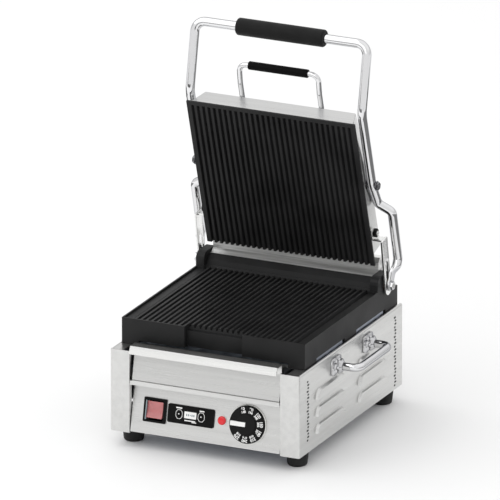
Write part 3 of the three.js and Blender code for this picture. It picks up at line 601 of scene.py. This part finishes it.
def top_fold():
    """The section of the folded top edge, as pairs of Z and X."""
    centre = (BASE_X - FOLD_R, TOP_Z - FOLD_R)
    edge_x = centre[0] - 0.5
    outside = arc(centre, FOLD_R, 0, math.pi / 2, 6)
    inside = arc(centre, FOLD_R - SHEET, math.pi / 2, 0, 6)
    section = [*outside, (edge_x, TOP_Z), (edge_x, TOP_Z - SHEET), *inside]
    return [(z, x) for x, z in section]


def post_section():
    """The section of the front post in X and Y, folded round into the side wall."""
    centre = (BASE_X - FOLD_R, FRONT_Y + FOLD_R)
    inner_x, inner_y = POST_X + SHEET, FRONT_Y + SHEET
    return [
        (POST_X, FRONT_Y + POST_LIP),
        (POST_X, FRONT_Y),
        *arc(centre, FOLD_R, -math.pi / 2, 0, 6),
        (BASE_X - SHEET, centre[1]),
        (centre[0], inner_y),
        (inner_x, inner_y),
        (inner_x, FRONT_Y + POST_LIP),
    ]


def side_wall():
    """The flat part of the side sheet, with its six slots."""
    low, high = SLOT_RANGE
    slots = []
    for y0, y1, top in louver_places():
        start, end = y0 + SLOT_END, y1 - SLOT_END
        slots.append([(start, top - low), (end, top - low), (end, top - high), (start, top - high)])
    front, wall_top = FRONT_Y + FOLD_R, TOP_Z - FOLD_R
    wall = [(front, FLOOR_Z), (BACK_Y, FLOOR_Z), (BACK_Y, wall_top), (front, wall_top)]
    return pierced(wall, slots, "X", BASE_X - SHEET, BASE_X)


def side_panel(side, place):
    """The folded side sheet, with six slots under their hoods."""
    bm = side_wall()
    prism(post_section(), "Z", FLOOR_Z, TOP_Z, bm)
    block(BASE_X - BOTTOM_FLANGE, BASE_X - SHEET, FRONT_Y + 2, BACK_Y, FLOOR_Z, FLOOR_Z + SHEET, bm)
    block(LEDGE_X, BASE_X - FOLD_R, FRONT_Y + 0.6, PLATE_FRONT_Y - 1.3, TOP_Z - SHEET, TOP_Z, bm)
    prism(top_fold(), "Y", FRONT_Y + 1.5, BACK_Y, bm)
    for y0, y1, top in louver_places():
        louver_hood(bm, y0, y1, top)
    cad = f"side_panel_{side}"
    piece(f"side_sheet_{side}", bm, "stainless_y", "base", [cad], place)


VENT_ROWS = ((-157, 44, 19), (162, 31, 22))  # where a row stands in Y, its lowest hole, and how many holes
VENT_STEP = 5.2
VENT_STAGGER = 1.1
VENT_HALF = (2.5, 3.3)  # half the length of even and odd holes
VENT_THICK = 0.1


def side_perforations(side, place):
    """Two upright rows of small staggered vent holes near the ends of the side panel, drawn as thin dark
    plates on the sheet: painted shade in place of real holes.
    """
    bm = bmesh.new()
    surface = BASE_X + PROUD
    for middle, low, count in VENT_ROWS:
        for i in range(count):
            y = middle + (VENT_STAGGER if i % 3 else -VENT_STAGGER)
            outline = rounded_rectangle(VENT_HALF[i % 2], 1.4, 1.0, (y, low + i * VENT_STEP), 3)
            prism(outline, "X", surface, surface + VENT_THICK, bm)
    piece(f"side_perforations_{side}", bm, "painted_hole_shade", "base", (), place)


def make_feet():
    """Four tapered rubber feet; the profile is radius and height."""
    for node in ("foot_front_right", "foot_front_left", "foot_back_right", "foot_back_left"):
        middle, top = node_middle(node), node_box(node)[1].z
        profile = [(12.5, 0), (13.8, 0.4), (15, 1.8), (15.6, 4), (17.1, 17), (17.5, 20.5), (17.5, top)]
        bm = turned(profile, "Z", (middle.x, middle.y, 0), 56)
        piece(f"rubber_{node}", bm, "foot_rubber", "base", [node], bevel=0.4, angle=40)


BAR_Z = 133
BAR_Y = 58  # half the length of the carrying handle
BAR_X = 196
BAR_START = 172.3
BAR_R = 6
BAR_BEND = 13


def side_handle(side, place):
    """The D-shaped carrying handle and its two flared mounts."""
    ends = [(BAR_START, -BAR_Y), (BAR_X, -BAR_Y), (BAR_X, BAR_Y), (BAR_START, BAR_Y)]
    corners = [(x, y, BAR_Z) for x, y in ends]
    bm = bmesh.new()
    sweep(bm, bent_line(corners, [0, BAR_BEND, BAR_BEND, 0], 14), BAR_R, 40)
    piece(f"side_bar_{side}", bm, "chrome", "base", [f"side_handle_bar_{side}"], place)
    for end, y in (("front", -BAR_Y), ("back", BAR_Y)):
        cad = f"side_handle_{end}_mount_{side}"
        piece(f"side_{end}_flange_{side}", flared_mount(y), "mount_chrome_painted_dark", "base", [cad], place, 0.4)


# X, half the width along Y, half the height, and how square the outline is
MOUNT_SECTIONS = (
    (157.8, 17, 13.6, 6),
    (160.4, 17, 13.6, 6),
    (161.4, 15.8, 12.4, 5),
    (162.2, 12.4, 10, 3.4),
    (164.4, 10.4, 9, 2.6),
    (166.6, 11.2, 10.4, 2.4),
    (168.4, 11, 10.2, 2.2),
    (170.2, 9, 8.6, 2),
    (172, 7.4, 7.4, 2),
)
MOUNT_LOBES = 6
MOUNT_FLUTE = 0.14  # how deep the flutes are at the waist, as a share of its size


def flared_mount(y):
    """A square foot with a fluted waist and a round collar for the bar."""
    bm = bmesh.new()
    count = 96
    angles = [2 * math.pi * k / count for k in range(count)]
    first, last = MOUNT_SECTIONS[0][0], MOUNT_SECTIONS[-1][0]
    rings = []
    for x, half_y, half_z, power in MOUNT_SECTIONS:
        flute = MOUNT_FLUTE * math.sin(math.pi * (x - first) / (last - first)) ** 2
        ring = []
        for a in angles:
            reach = (1 + flute * math.cos(MOUNT_LOBES * a)) * superellipse(a, power)
            point = (x, y + half_y * reach * math.cos(a), BAR_Z + half_z * reach * math.sin(a))
            ring.append(bm.verts.new(point))
        rings.append(ring)
    ring_faces(bm, rings)
    return bm


def make_rear():
    """The vented back panel, and the gland; its profile is radius and distance past the back."""
    refine("rear_panel", "stainless_x", 0.25)
    middle = node_middle("cord_gland")
    profile = [(4.2, -10), (7.6, -10), (7.6, 0.3), (11.4, 0.3), (12, 1.2), (12, 3.2), (11, 4.4)]
    profile += [(8.6, 5), (7.8, 8.2), (6.8, 9), (4.8, 9), (4.2, 8), (4.2, -10)]
    bm = turned(profile, "Y", (middle.x, BACK_Y, middle.z), 48)
    piece("gland_bush", bm, "black_plastic", "base", ["cord_gland"], bevel=0.2, angle=50)


def rear_upstand():
    """The casting's rear edge, which laps over the foot of the rear cover."""
    half = 138.4
    section = [(117.2, 197.9), (121, 201.2), (121.4, 203.75)]
    section += [(131.6, 211.25), (130.7, 212.5), (119.8, 204.6)]
    piece("rear_upstand", prism(section, "X", -half, half), "cast_iron", "base", (), bevel=0.4)


def make_base():
    for side, place in SIDES:
        side_panel(side, place)
        side_perforations(side, place)
        side_handle(side, place)
    make_feet()
    make_rear()
    refine("base_pan", "galvanised", 0.3)
    refine("tray_shelf", "stainless_x", 0.5)
    refine("tray_rail_right", "galvanised", 0.3)
    refine("tray_rail_left", "galvanised", 0.3)
    refine("drip_tray", "stainless_x", 0.5)
    refine("terminal_block", "pale_plastic", 0.5)
    refine("heat_shield", "galvanised", 0.4)
    refine("rear_cover", "stainless_cover", 0.5)
    refine("lower_plate", "cast_iron", 1.0)
    rear_upstand()
    refine("lower_element", "steel", 0)
    for side, _ in SIDES:
        refine(f"bearing_bush_{side}", "bronze", 0.2)
        refine(f"torsion_spring_{side}", "steel", 0)


# Control panel: X along it, Z up it, its face at Y = 0 --------------------

SWITCH_X = -86
TIMER_X = -26
TIMER_FACE_Y = -2
TIMER_BUTTONS = (("left", -45.5), ("right", -8.6))
BUTTON_Z = 0.5
# Half the height, half the width, Z and X of the bars that stand for the wording
TIMER_BARS = ((1.0, 5, 9.6, -46), (0.9, 4, 9.2, -8), (0.8, 9, -8.2, -27), (0.6, 4, -10, -20))
DIGIT_COUNT = 5
DIGIT_STEP = 3
LAMP_X = 25.5
DIAL_X = DIAL_CENTRE.x
PRINT = 0.12  # how far printed marks stand proud


def make_switch():
    """The switch's housing, and the seal beside the rocker."""
    face = rounded_rectangle(18.8, 18.8, 1.6, (0, SWITCH_X))
    window = rounded_rectangle(15.5, 14, 1, (0, SWITCH_X))
    bm = pierced(face, [window], "Y", -2.3, -0.3)
    body = rounded_rectangle(16.2, 16.2, 1, (0, SWITCH_X))
    pierced(body, [window], "Y", -0.3, 16, bm)
    prism(body, "Y", 16, 24, bm)
    piece("switch_bezel", bm, "black_plastic", "base", ["switch_housing"], PANEL_PLACE, 0.45)
    seal_x = SWITCH_X - 13.95
    bm = block(seal_x, seal_x + 0.55, -5.6, 10, -14.8, 14.8)
    block(seal_x, seal_x + 1.55, -5.8, -5.2, -14.8, 14.8, bm)
    piece("switch_seal", bm, "grey_seal", "base", (), PANEL_PLACE, 0.15)
    make_rocker()


def make_rocker():
    """The red rocker: a hollowed face and a ridged back."""
    place = tilted_place(joint_place("rocker_tip"), -PANEL_TILT - 0.1)
    face_y, hollow = -8.6, 2.2
    half_z = 12.9
    shares = [k / 12 for k in range(13)]
    outline = [(face_y + hollow * math.sin(math.pi * s), half_z - 2 * half_z * s) for s in shares]
    outline += [(1, -half_z + 2), (7, 0), (1, half_z - 2)]
    bm = prism(outline, "X", -13.2, 13.2)
    piece("rocker_cap", bm, "red_plastic", "rocker", ["rocker"], place, 0.8, 40)


def make_timer():
    """The timer's face with a well for each of its two buttons."""
    face = rounded_rectangle(14.4, 38.6, 3, (0, TIMER_X))
    body = rounded_rectangle(12, 35, 1.5, (0, TIMER_X))
    wells = [circle(4, (BUTTON_Z, x), 32) for _, x in TIMER_BUTTONS]
    bm = pierced(face, wells, "Y", TIMER_FACE_Y, -0.3)
    pierced(body, wells, "Y", -0.3, 6, bm)
    prism(body, "Y", 6, 30, bm)
    piece("timer_face", bm, "black_plastic", "base", ["timer_module"], PANEL_PLACE, 0.5)
    cap = [(0.05, -3.0), (1.9, -3.1), (2.9, -3.4), (3.4, -3.1), (3.6, -2.6), (3.6, 4.2), (0.05, 4.2)]
    for name, x in TIMER_BUTTONS:
        bm = turned(cap, "Y", (x, 0, BUTTON_Z), 40)
        body_name, cad = f"button_{name}", f"timer_button_{name}"
        piece(f"timer_cap_{name}", bm, "black_plastic", body_name, [cad], PANEL_PLACE, 0, 50)
    timer_marks()


def timer_marks():
    """The window, the frames round the two buttons and a few plain bars, without any wording."""
    outside, inside = TIMER_FACE_Y - PRINT, TIMER_FACE_Y + 0.2
    bm = bmesh.new()
    window = rounded_rectangle(5.2, 10, 0.8, (0.4, TIMER_X - 0.8))
    prism(window, "Y", outside, inside, bm)
    for _, x in TIMER_BUTTONS:
        pierced(octagon(7.2, 5.6, (0, x)), [octagon(6.5, 4.9, (0, x))], "Y", outside, inside, bm)
        prism(circle(1.0, (BUTTON_Z, x), 20), "Y", -3.3, -3.0, bm)
    for half_z, half_x, z, x in TIMER_BARS:
        prism(rounded_rectangle(half_z, half_x, 0.4, (z, x)), "Y", outside, inside, bm)
    piece("timer_marks", bm, "white_print", "base", (), PANEL_PLACE)
    bm = bmesh.new()
    for i in range(DIGIT_COUNT):
        half_z = 0.7 if i == DIGIT_COUNT // 2 else 1.5
        digit = rounded_rectangle(half_z, 0.9, 0.3, (0.4, TIMER_X - 6.8 + i * DIGIT_STEP))
        prism(digit, "Y", outside - PRINT, TIMER_FACE_Y, bm)
    piece("timer_digits", bm, "grey_seal", "base", (), PANEL_PLACE)


def octagon(half_z, half_x, centre):
    """A rectangle with its corners cut off, as pairs of Z and X."""
    z, x = centre
    cut = 0.45
    quarter = [(1, -cut), (1, cut), (cut, 1), (-cut, 1)]
    return [(z + half_z * p * s, x + half_x * q * s) for s in (1, -1) for p, q in quarter]


def make_lamp():
    """The domed red lens in its thin pale collar."""
    lens_r, rim_y, dome = 6.8, -1.8, 2.8
    profile = [(0.05, rim_y - dome)]
    for k in range(1, 8):
        angle = math.pi / 2 * k / 7
        profile.append((lens_r * math.sin(angle), rim_y - dome * math.cos(angle)))
    profile += [(lens_r, -0.3), (5.2, -0.3), (5.2, 22), (0.05, 22)]
    bm = turned(profile, "Y", (LAMP_X, 0, 0), 48)
    piece("lamp_lens", bm, "lamp_red", "base", ["indicator_lamp"], PANEL_PLACE, 0, 50)
    ring = [(6.85, -0.9), (7.1, -0.8), (7.4, -0.35), (6.85, -0.35), (6.85, -0.9)]
    bm = turned(ring, "Y", (LAMP_X, 0, 0), 48)
    piece("lamp_collar", bm, "pale_plastic", "base", (), PANEL_PLACE, 0, 60)


NUMBER_COUNT = 8
FIRST_NUMBER = 60  # degrees Celsius, with Fahrenheit on the inner row
NUMBER_STEP = 30
FIRST_NUMBER_DEG = -19
NUMBER_STEP_DEG = 33.5


def make_dial():
    """The dial with its pointer and numbers; its profile is radius and Y."""
    profile = [(0.05, -8.6), (13.6, -8.6), (15.2, -8.3), (16, -7.6), (16.2, -6.3), (16.9, -6.0)]
    profile += [(27.2, -6.0), (28.4, -5.6), (29, -4.6), (29, -1), (3.5, -1), (3.5, -7.4), (0.05, -7.4)]
    bm = turned(profile, "Y", (DIAL_X, 0, 0), 96)
    piece("dial_knob", bm, "dial_black", "dial", ["dial"], PANEL_PLACE, 0, 40)
    pointer = rounded_rectangle(3.5, 12.5, 0.6, (0, DIAL_X - 13.5))
    piece("dial_pointer", prism(pointer, "Y", -9, -5.8), "white_print", "dial", (), PANEL_PLACE, 0.3)
    for i in range(NUMBER_COUNT):
        celsius = FIRST_NUMBER + i * NUMBER_STEP
        clockwise = math.radians(FIRST_NUMBER_DEG + i * NUMBER_STEP_DEG)
        fahrenheit = round(celsius * 1.8 + 32)
        dial_number(celsius, clockwise, 24.7, 6.2)
        dial_number(fahrenheit, clockwise, 19.6, 5.0)
    ring = [(29.5, -1.8), (30.4, -1.8), (31, -1.2), (31, -0.35), (29.5, -0.35), (29.5, -1.8)]
    bm = turned(ring, "Y", (DIAL_X, 0, 0), 96)
    piece("dial_bezel", bm, "pale_plastic", "base", ["dial_ring"], PANEL_PLACE, 0, 50)
    refine("thermostat_body", "steel", 0.4)


def dial_number(number, clockwise, radius, size):
    """A temperature printed on the dial, its foot towards the centre."""
    text = bpy.data.curves.new("number", "FONT")
    text.body = str(number)
    text.size = size
    text.align_x = "CENTER"
    text.align_y = "CENTER"
    text.extrude = PRINT
    text.offset = 0.22  # makes the figures bolder
    written = add_object("number", text)
    depsgraph = bpy.context.evaluated_depsgraph_get()
    mesh = bpy.data.meshes.new_from_object(written.evaluated_get(depsgraph))
    bpy.data.objects.remove(written)
    bm = bmesh.new()
    bm.from_mesh(mesh)
    bpy.data.meshes.remove(mesh)
    face = PANEL_PLACE @ Matrix.Translation((DIAL_X, -6, 0))
    out = Matrix.Rotation(clockwise, 4, "Y") @ Matrix.Translation((0, 0, radius))
    upright = Matrix.Rotation(math.pi / 2, 4, "X")
    piece(f"dial_number_{number}", bm, "white_print", "dial", (), face @ out @ upright)


def make_controls():
    refine("control_panel", "stainless_x", 0.3)
    make_switch()
    make_timer()
    make_lamp()
    make_dial()


# Handle frame and hinge --------------------

FRAME_X = 143.4  # the middle of the upper arms
FRAME_R = 7
ARM_X = 165  # the middle of the lower arms
EYE_INNER = 158
EYE_OUTER = 162
EYE_R = 8.5
PIN_R = 4
PINCH_START = 9  # where the arm's end starts to flatten, past its last bend
PINCH_LENGTH = 15


def arm_end(bm, corner, sign):
    """The arm's pinched end: a round tube that narrows to a flat tongue with a round end."""
    reach = (HINGE.yz - corner).length
    along = (HINGE.yz - corner).normalized()
    across = Vector((-along.y, along.x))
    distances = [7 + 17 * k / 12 for k in range(13)]
    distances += [reach + EYE_R * math.sin(math.pi / 26 * k) for k in range(13)]
    angles = [2 * math.pi * k / 40 for k in range(40)]
    rings = []
    for distance in distances:
        flat = smooth_step((distance - PINCH_START) / PINCH_LENGTH)
        past = max(distance - reach, 0)
        half_across = (1 - flat) * FRAME_R + flat * math.sqrt(max(EYE_R**2 - past**2, 0.4))
        half_x = (1 - flat) * FRAME_R + flat * (EYE_OUTER - EYE_INNER) / 2
        middle_x = (1 - flat) * ARM_X + flat * (EYE_OUTER + EYE_INNER) / 2
        middle = corner + along * distance
        ring = []
        for a in angles:
            size = superellipse(a, 2 + 4 * flat)
            point = middle + across * half_across * size * math.sin(a)
            x = sign * (middle_x + half_x * size * math.cos(a))
            ring.append(bm.verts.new((x, point.x, point.y)))
        rings.append(ring)
    ring_faces(bm, rings)


def make_frame():
    """The bent handle frame with its grip, and the shaft that it turns on."""
    crossbar = node_middle("handle_grip")
    last_bend = Vector((155, 238))
    right = [
        (FRAME_X, crossbar.y, crossbar.z),
        (FRAME_X, 68.5, 492),
        (FRAME_X, PIVOT.y, PIVOT.z),
        (FRAME_X, 128, 332),
        (ARM_X, 133, 320),
        (ARM_X, last_bend.x, last_bend.y),
        (ARM_X, 151.1, 229.8),
    ]
    bm = bmesh.new()
    mirrored_bar(bm, right, [17, 40, 60, 10, 10, 8, 0], FRAME_R, 40)
    for sign in (-1, 1):
        arm_end(bm, last_bend, sign)
    piece("handle_tube", bm, "chrome", "frame", ["handle_frame"])
    bm = soft_grip(73, 13.5, FRAME_R, crossbar)
    piece("main_grip", bm, "grip_foam", "frame", ["handle_grip"], angle=50)
    make_shaft()


def soft_grip(half, radius, bar, centre):
    """A sleeve with softly rounded ends round a bar along X."""
    round_r = (radius - bar) * 0.55
    corner = (radius - round_r, -half + round_r)
    profile = [(bar + 0.3, -half + 0.4), *arc(corner, round_r, -math.pi / 2, 0, 8)]
    profile += [(r, -h) for r, h in reversed(profile)]
    profile.append(profile[0])
    return turned(profile, "X", centre, 64)


def make_shaft():
    """The shouldered shaft, and what each of its ends carries: a washer, a nut and a strap."""
    end = node_box("hinge_shaft")[1].x
    chamfer, shoulder_x, shoulder_r = 0.8, 153.4, 6.3
    profile = [(PIN_R - chamfer, -end), (PIN_R, -end + chamfer), (PIN_R, -shoulder_x)]
    profile.append((shoulder_r, -shoulder_x))
    profile += [(r, -h) for r, h in reversed(profile)]
    centre = (0, HINGE.y, HINGE.z)
    piece("turned_shaft", turned(profile, "X", centre), "steel", "frame", ["hinge_shaft"], angle=30)
    nut_x = EYE_OUTER + 0.8
    for side, place in SIDES:
        bm = hex_nut(nut_x, end - chamfer, 6.9, centre)
        washer(PIN_R + 0.1, 7.8, EYE_OUTER + 0.1, nut_x, centre, bm)
        piece(f"shaft_cap_nut_{side}", bm, "chrome", "frame", [f"shaft_nut_{side}"], place, 0.35, 40)
        strap_link(side, place)


def hex_nut(x0, x1, radius, centre, bm=None):
    """A hexagonal prism along X; only the centre's Y and Z count."""
    return prism(circle(radius, centre[1:], 6), "X", x0, x1, bm)


def washer(inner, outer, x0, x1, centre, bm=None):
    """A flat ring round a line along X."""
    section = [(inner, x0), (outer, x0), (outer, x1), (inner, x1), (inner, x0)]
    return turned(section, "X", centre, 40, bm)


# A strap is made with its slot's lower end on the shaft, and Z towards the lid's bolt.
STRAP_X = 154.5
STRAP_THICK = 3
STRAP_HALF = 10
STRAP_FOOT_Z = -6
SLOT_TOP_Z = 41
SLOT_ROOM = 0.6  # between the shaft's pin and the slot
TAB_X = 137
TAB_R = 8
BRIDGE_Z = 76
BRIDGE_FRONT = -4.6


def strap_leg():
    """The leg's outline in Y and Z: round at its foot, square at the top."""
    top = BRIDGE_Z + STRAP_THICK
    return [(-STRAP_HALF, top), (STRAP_HALF, top), *arc((0, STRAP_FOOT_Z), STRAP_HALF, 0, -math.pi, 20)]


def strap_slot():
    """The slot's outline in Y and Z: the shaft has room in it at its lower end."""
    half = PIN_R + SLOT_ROOM
    top = arc((0, SLOT_TOP_Z - half), half, 0, math.pi, 12)
    return top + arc((0, -SLOT_ROOM), half, math.pi, 2 * math.pi, 12)


def strap_link(side, place):
    """The bright slotted strap: a leg with the slot, a step inwards and a tab on the lid's bolt."""
    reach = (STRAP_BOLT.yz - HINGE.yz).length
    bm = pierced(strap_leg(), [strap_slot()], "X", STRAP_X, STRAP_X + STRAP_THICK)
    block(TAB_X, STRAP_X + 0.1, BRIDGE_FRONT, TAB_R, BRIDGE_Z, BRIDGE_Z + STRAP_THICK, bm)
    foot_z = BRIDGE_Z + 0.2
    tab = [(BRIDGE_FRONT, foot_z), (TAB_R, foot_z), *arc((0, reach), TAB_R, 0, math.pi, 16)]
    pierced(tab, [circle(4.4, (0, reach))], "X", TAB_X, TAB_X + STRAP_THICK, bm)
    body, cad = f"strap_{side}", f"strap_link_{side}"
    piece(f"slotted_strap_{side}", bm, "stainless_strap", body, [cad], place @ STRAP_PLACE, 0.45)


# Lid: X across, Z up along the plate, Y behind the cooking face --------------------


def in_lid(point):
    """A point of the object, in the lid's own frame."""
    return LID_PLACE.inverted() @ Vector(point)


COVER_X = 135.8  # half the cover's width
COVER_DEPTH = 38
COVER_RIM_Y = 3.4  # the open edge, just behind the cooking face
COVER_LOW_Z = 13
COVER_TOP_Z = 257.5
COVER_LEAN = 10  # how far the side walls lean in at the top
COVER_LEAN_Z = 105  # where they start to


def lid_cover():
    """One pressed sheet: a shallow pan with rounded folds, open towards the plate."""
    corners = []
    for sign in (-1, 1):
        corners += [
            (sign * COVER_X, COVER_RIM_Y, COVER_LOW_Z + 5),
            (sign * COVER_X, COVER_RIM_Y + 4.9, COVER_LOW_Z),
            (sign * COVER_X, COVER_DEPTH, COVER_LOW_Z),
            (sign * COVER_X, COVER_DEPTH, COVER_LEAN_Z),
            (sign * COVER_X, COVER_RIM_Y, COVER_TOP_Z),
            (sign * (COVER_X - COVER_LEAN), COVER_DEPTH, COVER_TOP_Z - 2.5),
        ]
    bm = bmesh.new()
    verts = [bm.verts.new(c) for c in corners]
    bmesh.ops.convex_hull(bm, input=verts)
    bmesh.ops.dissolve_limit(bm, angle_limit=0.01, verts=bm.verts, edges=bm.edges)
    bm.normal_update()
    open_faces = [face for face in bm.faces if face.normal.y < -0.5]
    rim = {edge for face in open_faces for edge in face.edges}
    folds = [e for e in bm.edges if e not in rim and e.calc_face_angle(0) > 0.2]
    bmesh.ops.delete(bm, geom=open_faces, context="FACES")
    bmesh.ops.bevel(bm, geom=folds, offset=2.2, segments=5, profile=0.5, affect="EDGES")
    obj = piece("pressed_cover", bm, "stainless_lid", "lid", ["lid_cover"], LID_PLACE, angle=30)
    wall = obj.modifiers.new("sheet", "SOLIDIFY")
    wall.thickness = 1.1 * MM
    wall.offset = -1


LUG_X = 129  # where the pivot screw starts, inside the lid
SPACER_X = 131
BOLT_HOLE_R = 4.2
BOLT_WASHER_R = 7.6


def pivot_screw(side, where, centre):
    """The screw that hangs the lid in the handle frame, with its nut and spacer."""
    head = FRAME_X + FRAME_R + 0.4
    shank = [(0.05, LUG_X), (4, LUG_X), (4, head), (7.4, head), (7.8, head + 1), (6, head + 1.4)]
    bm = turned([*shank, (0.05, head + 1.4)], "X", centre, 40)
    hex_nut(head + 1.2, head + 4.6, 6.2, centre, bm)
    dome = [(0.05, head + 5.4), (2.4, head + 5.2), (3.2, head + 4.4), (0.05, head + 4.4)]
    turned(dome, "X", centre, 32, bm)
    cad = f"pivot_screw_{side}"
    piece(f"pivot_screw_head_{side}", bm, "screw_chrome_painted_dark", "lid", [cad], where, 0.3, 40)
    bm = washer(BOLT_HOLE_R, BOLT_WASHER_R, SPACER_X, SPACER_X + 4.6, centre)
    piece(f"pivot_spacer_{side}", bm, "black_plastic", "lid", (), where, 0.3, 40)


def strap_bolt(side, where, centre):
    """The stud that a strap swings on, with its washer and nut."""
    stud = [(0.05, SPACER_X), (4, SPACER_X), (4, 147), (2.6, 148), (0.05, 148)]
    bm = turned(stud, "X", centre, 32)
    washer(BOLT_HOLE_R, BOLT_WASHER_R, 140.3, 141.2, centre, bm)
    piece(f"strap_stud_{side}", bm, "stainless_strap", "lid", [f"strap_bolt_{side}"], where, 0.2, 40)
    bm = hex_nut(141.3, 146, 7, centre)
    piece(f"strap_nut_{side}", bm, "black_plastic", "lid", (), where, 0.4, 40)


def make_lid():
    """The upper plate, its cover and what is between them, the bolts and the small handle."""
    refine("upper_plate", "cast_iron", 0.9)
    lid_cover()
    refine("lid_heat_shield", "stainless_lid", 0.3)
    refine("upper_element", "steel", 0)
    refine("lid_insulation", "mineral_wool", 2)
    lid_handle()
    pivot = in_lid(PIVOT)
    bolt = in_lid(STRAP_BOLT)
    for side, place in SIDES:
        where = place @ LID_PLACE
        pivot_screw(side, where, (0, pivot.y, pivot.z))
        strap_bolt(side, where, (0, bolt.y, bolt.z))


def lid_handle():
    """The small handle: a bent rod with a screwed foot at each end on the back of the cover."""
    x = 66
    radius = 4
    foot_y = COVER_DEPTH + 0.3
    foot_top = foot_y + 2.4
    leg_y = foot_y + radius + 0.1
    grip = in_lid(node_middle("lid_handle_grip"))
    right = [(x, grip.y, grip.z), (x, leg_y, 277), (x, leg_y, 234)]
    bm = bmesh.new()
    mirrored_bar(bm, right, [12, 20, 0], radius, 32)
    for sign in (-1, 1):
        foot = rounded_rectangle(11, 7, 2, (235, sign * x))
        prism(foot, "Y", foot_y, foot_top, bm)
        for z in (226.6, 244):
            head = [(2.9, foot_top), (2.9, foot_top + 0.8), (2, foot_top + 1.5), (0.05, foot_top + 1.7)]
            turned(head, "Y", (sign * (x + 4), 0, z), 24, bm)
    piece("bent_handle", bm, "chrome", "lid", ["lid_handle"], LID_PLACE, 0.25, 40)
    bm = soft_grip(49.5, 6.6, radius, grip)
    piece("small_grip", bm, "small_grip", "lid", ["lid_handle_grip"], LID_PLACE, angle=50)


# Studio --------------------

# The studio is in metres.
VIEW_DIRECTION = Vector((0.397, -0.859, 0.323)).normalized()  # from the object to the camera
VIEW_TARGET = Vector((-0.0113, 0, 0.2747))
VIEW_DISTANCE = 25.0
VIEW_WIDTH = 0.7585  # what the picture spans at the target, in metres


def aim(obj, place, direction):
    """Puts a camera or a light at a place, looking in a direction."""
    obj.location = place
    obj.rotation_mode = "QUATERNION"
    obj.rotation_quaternion = direction.to_track_quat("-Z", "Y")


def make_camera():
    """A far camera with a long lens, so that parallel edges stay parallel."""
    data = bpy.data.cameras.new("camera")
    data.sensor_width = 36
    data.lens = data.sensor_width * VIEW_DISTANCE / VIEW_WIDTH
    data.clip_end = 100
    camera = add_object("camera", data)
    aim(camera, VIEW_TARGET + VIEW_DIRECTION * VIEW_DISTANCE, -VIEW_DIRECTION)
    bpy.context.scene.camera = camera


def flat_sheet(name, corners, look):
    """One flat face, for the studio."""
    bm = bmesh.new()
    bm.faces.new([bm.verts.new(corner) for corner in corners])
    sheet = mesh_object(name, bm)
    sheet.data.materials.append(look.material)
    return sheet


def level_corners(across, along, height):
    """The corners of a level rectangle between two limits in X and two in Y."""
    x0, x1 = across
    y0, y1 = along
    return [(x0, y0, height), (x1, y0, height), (x1, y1, height), (x0, y1, height)]


def make_floor():
    look = Look("pale_floor", grey(0.92), 0.0, 0.8)
    look.vary_roughness(look.noise(6, 2), 0.75, 0.85)
    floor = flat_sheet("floor", level_corners((-14, 14), (-14, 14), 0), look)


def area_light(name, place, target, size, power):
    data = bpy.data.lights.new(name, "AREA")
    data.shape = "RECTANGLE"
    data.size, data.size_y = size
    data.energy = power
    aim(add_object(name, data), place, Vector(target) - Vector(place))


def make_world():
    """A white room, darker near the horizon on its far side, for bright metal to mirror."""
    world = bpy.data.worlds.new("studio")
    world.use_nodes = True
    nodes = world.node_tree.nodes
    links = world.node_tree.links
    place = nodes.new("ShaderNodeTexCoord")
    split = nodes.new("ShaderNodeSeparateXYZ")
    links.new(place.outputs["Generated"], split.inputs["Vector"])
    walls = nodes.new("ShaderNodeValToRGB")
    stops = ((0.0, 0.8), (0.16, 0.7), (0.34, 0.85), (0.5, 1.0))
    while len(walls.color_ramp.elements) < len(stops):
        walls.color_ramp.elements.new(0.5)
    for element, (height, value) in zip(walls.color_ramp.elements, stops):
        element.position = height
        element.color = (value, value, value, 1)
    links.new(split.outputs["Z"], walls.inputs["Fac"])
    far_side = nodes.new("ShaderNodeMapRange")
    far_side.inputs["From Min"].default_value = -0.5
    far_side.inputs["From Max"].default_value = -0.1
    links.new(split.outputs["Y"], far_side.inputs["Value"])
    room = nodes.new("ShaderNodeMix")
    room.data_type = "RGBA"
    room.inputs["A"].default_value = (0.9, 0.9, 0.9, 1)
    links.new(far_side.outputs["Result"], room.inputs["Factor"])
    links.new(walls.outputs["Color"], room.inputs["B"])
    seen = nodes.new("ShaderNodeLightPath")
    mix = nodes.new("ShaderNodeMix")
    mix.data_type = "RGBA"
    mix.inputs["B"].default_value = (0.95, 0.95, 0.95, 1)
    links.new(seen.outputs["Is Camera Ray"], mix.inputs["Factor"])
    links.new(room.outputs["Result"], mix.inputs["A"])
    background = nodes["Background"]
    background.inputs["Strength"].default_value = 1.0
    links.new(mix.outputs["Result"], background.inputs["Color"])
    bpy.context.scene.world = world


def dark_card(name, corners, look):
    """A flag that only mirrors see: it gives chrome its dark lines and takes no light away."""
    card = flat_sheet(name, corners, look)
    card.visible_camera = False
    card.visible_diffuse = False
    card.visible_shadow = False


CARD_HEIGHT = 0.004  # how high a flag on the floor lies


def make_light():
    """The room, two soft lights, and three flags: two on the floor and one upright in front."""
    make_world()
    area_light("key", place=(-2.6, -0.7, 3.4), target=(0, 0, 0.25), size=(4.6, 4.6), power=50)
    area_light("front", place=(-0.6, -3.6, 2.6), target=(0, 0, 0.2), size=(4.6, 3.0), power=24)
    look = Look("dark_card", grey(0.17), 0.0, 0.9)
    dark_card("card_right", level_corners((0.55, 2.2), (-0.5, 1.6), CARD_HEIGHT), look)
    dark_card("card_left", level_corners((-2.0, -0.8), (-0.3, 1.2), CARD_HEIGHT), look)
    x0, x1, y, z0, z1 = -1.5, 0.35, -0.95, 0.28, 0.5
    dark_card("card_front", ((x0, y, z0), (x1, y, z0), (x1, y, z1), (x0, y, z1)), look)
    bpy.context.scene.view_settings.view_transform = "Standard"
    bpy.context.scene.view_settings.look = "None"


make_camera()
make_floor()
make_light()
make_base()
make_controls()
make_frame()
make_lid()
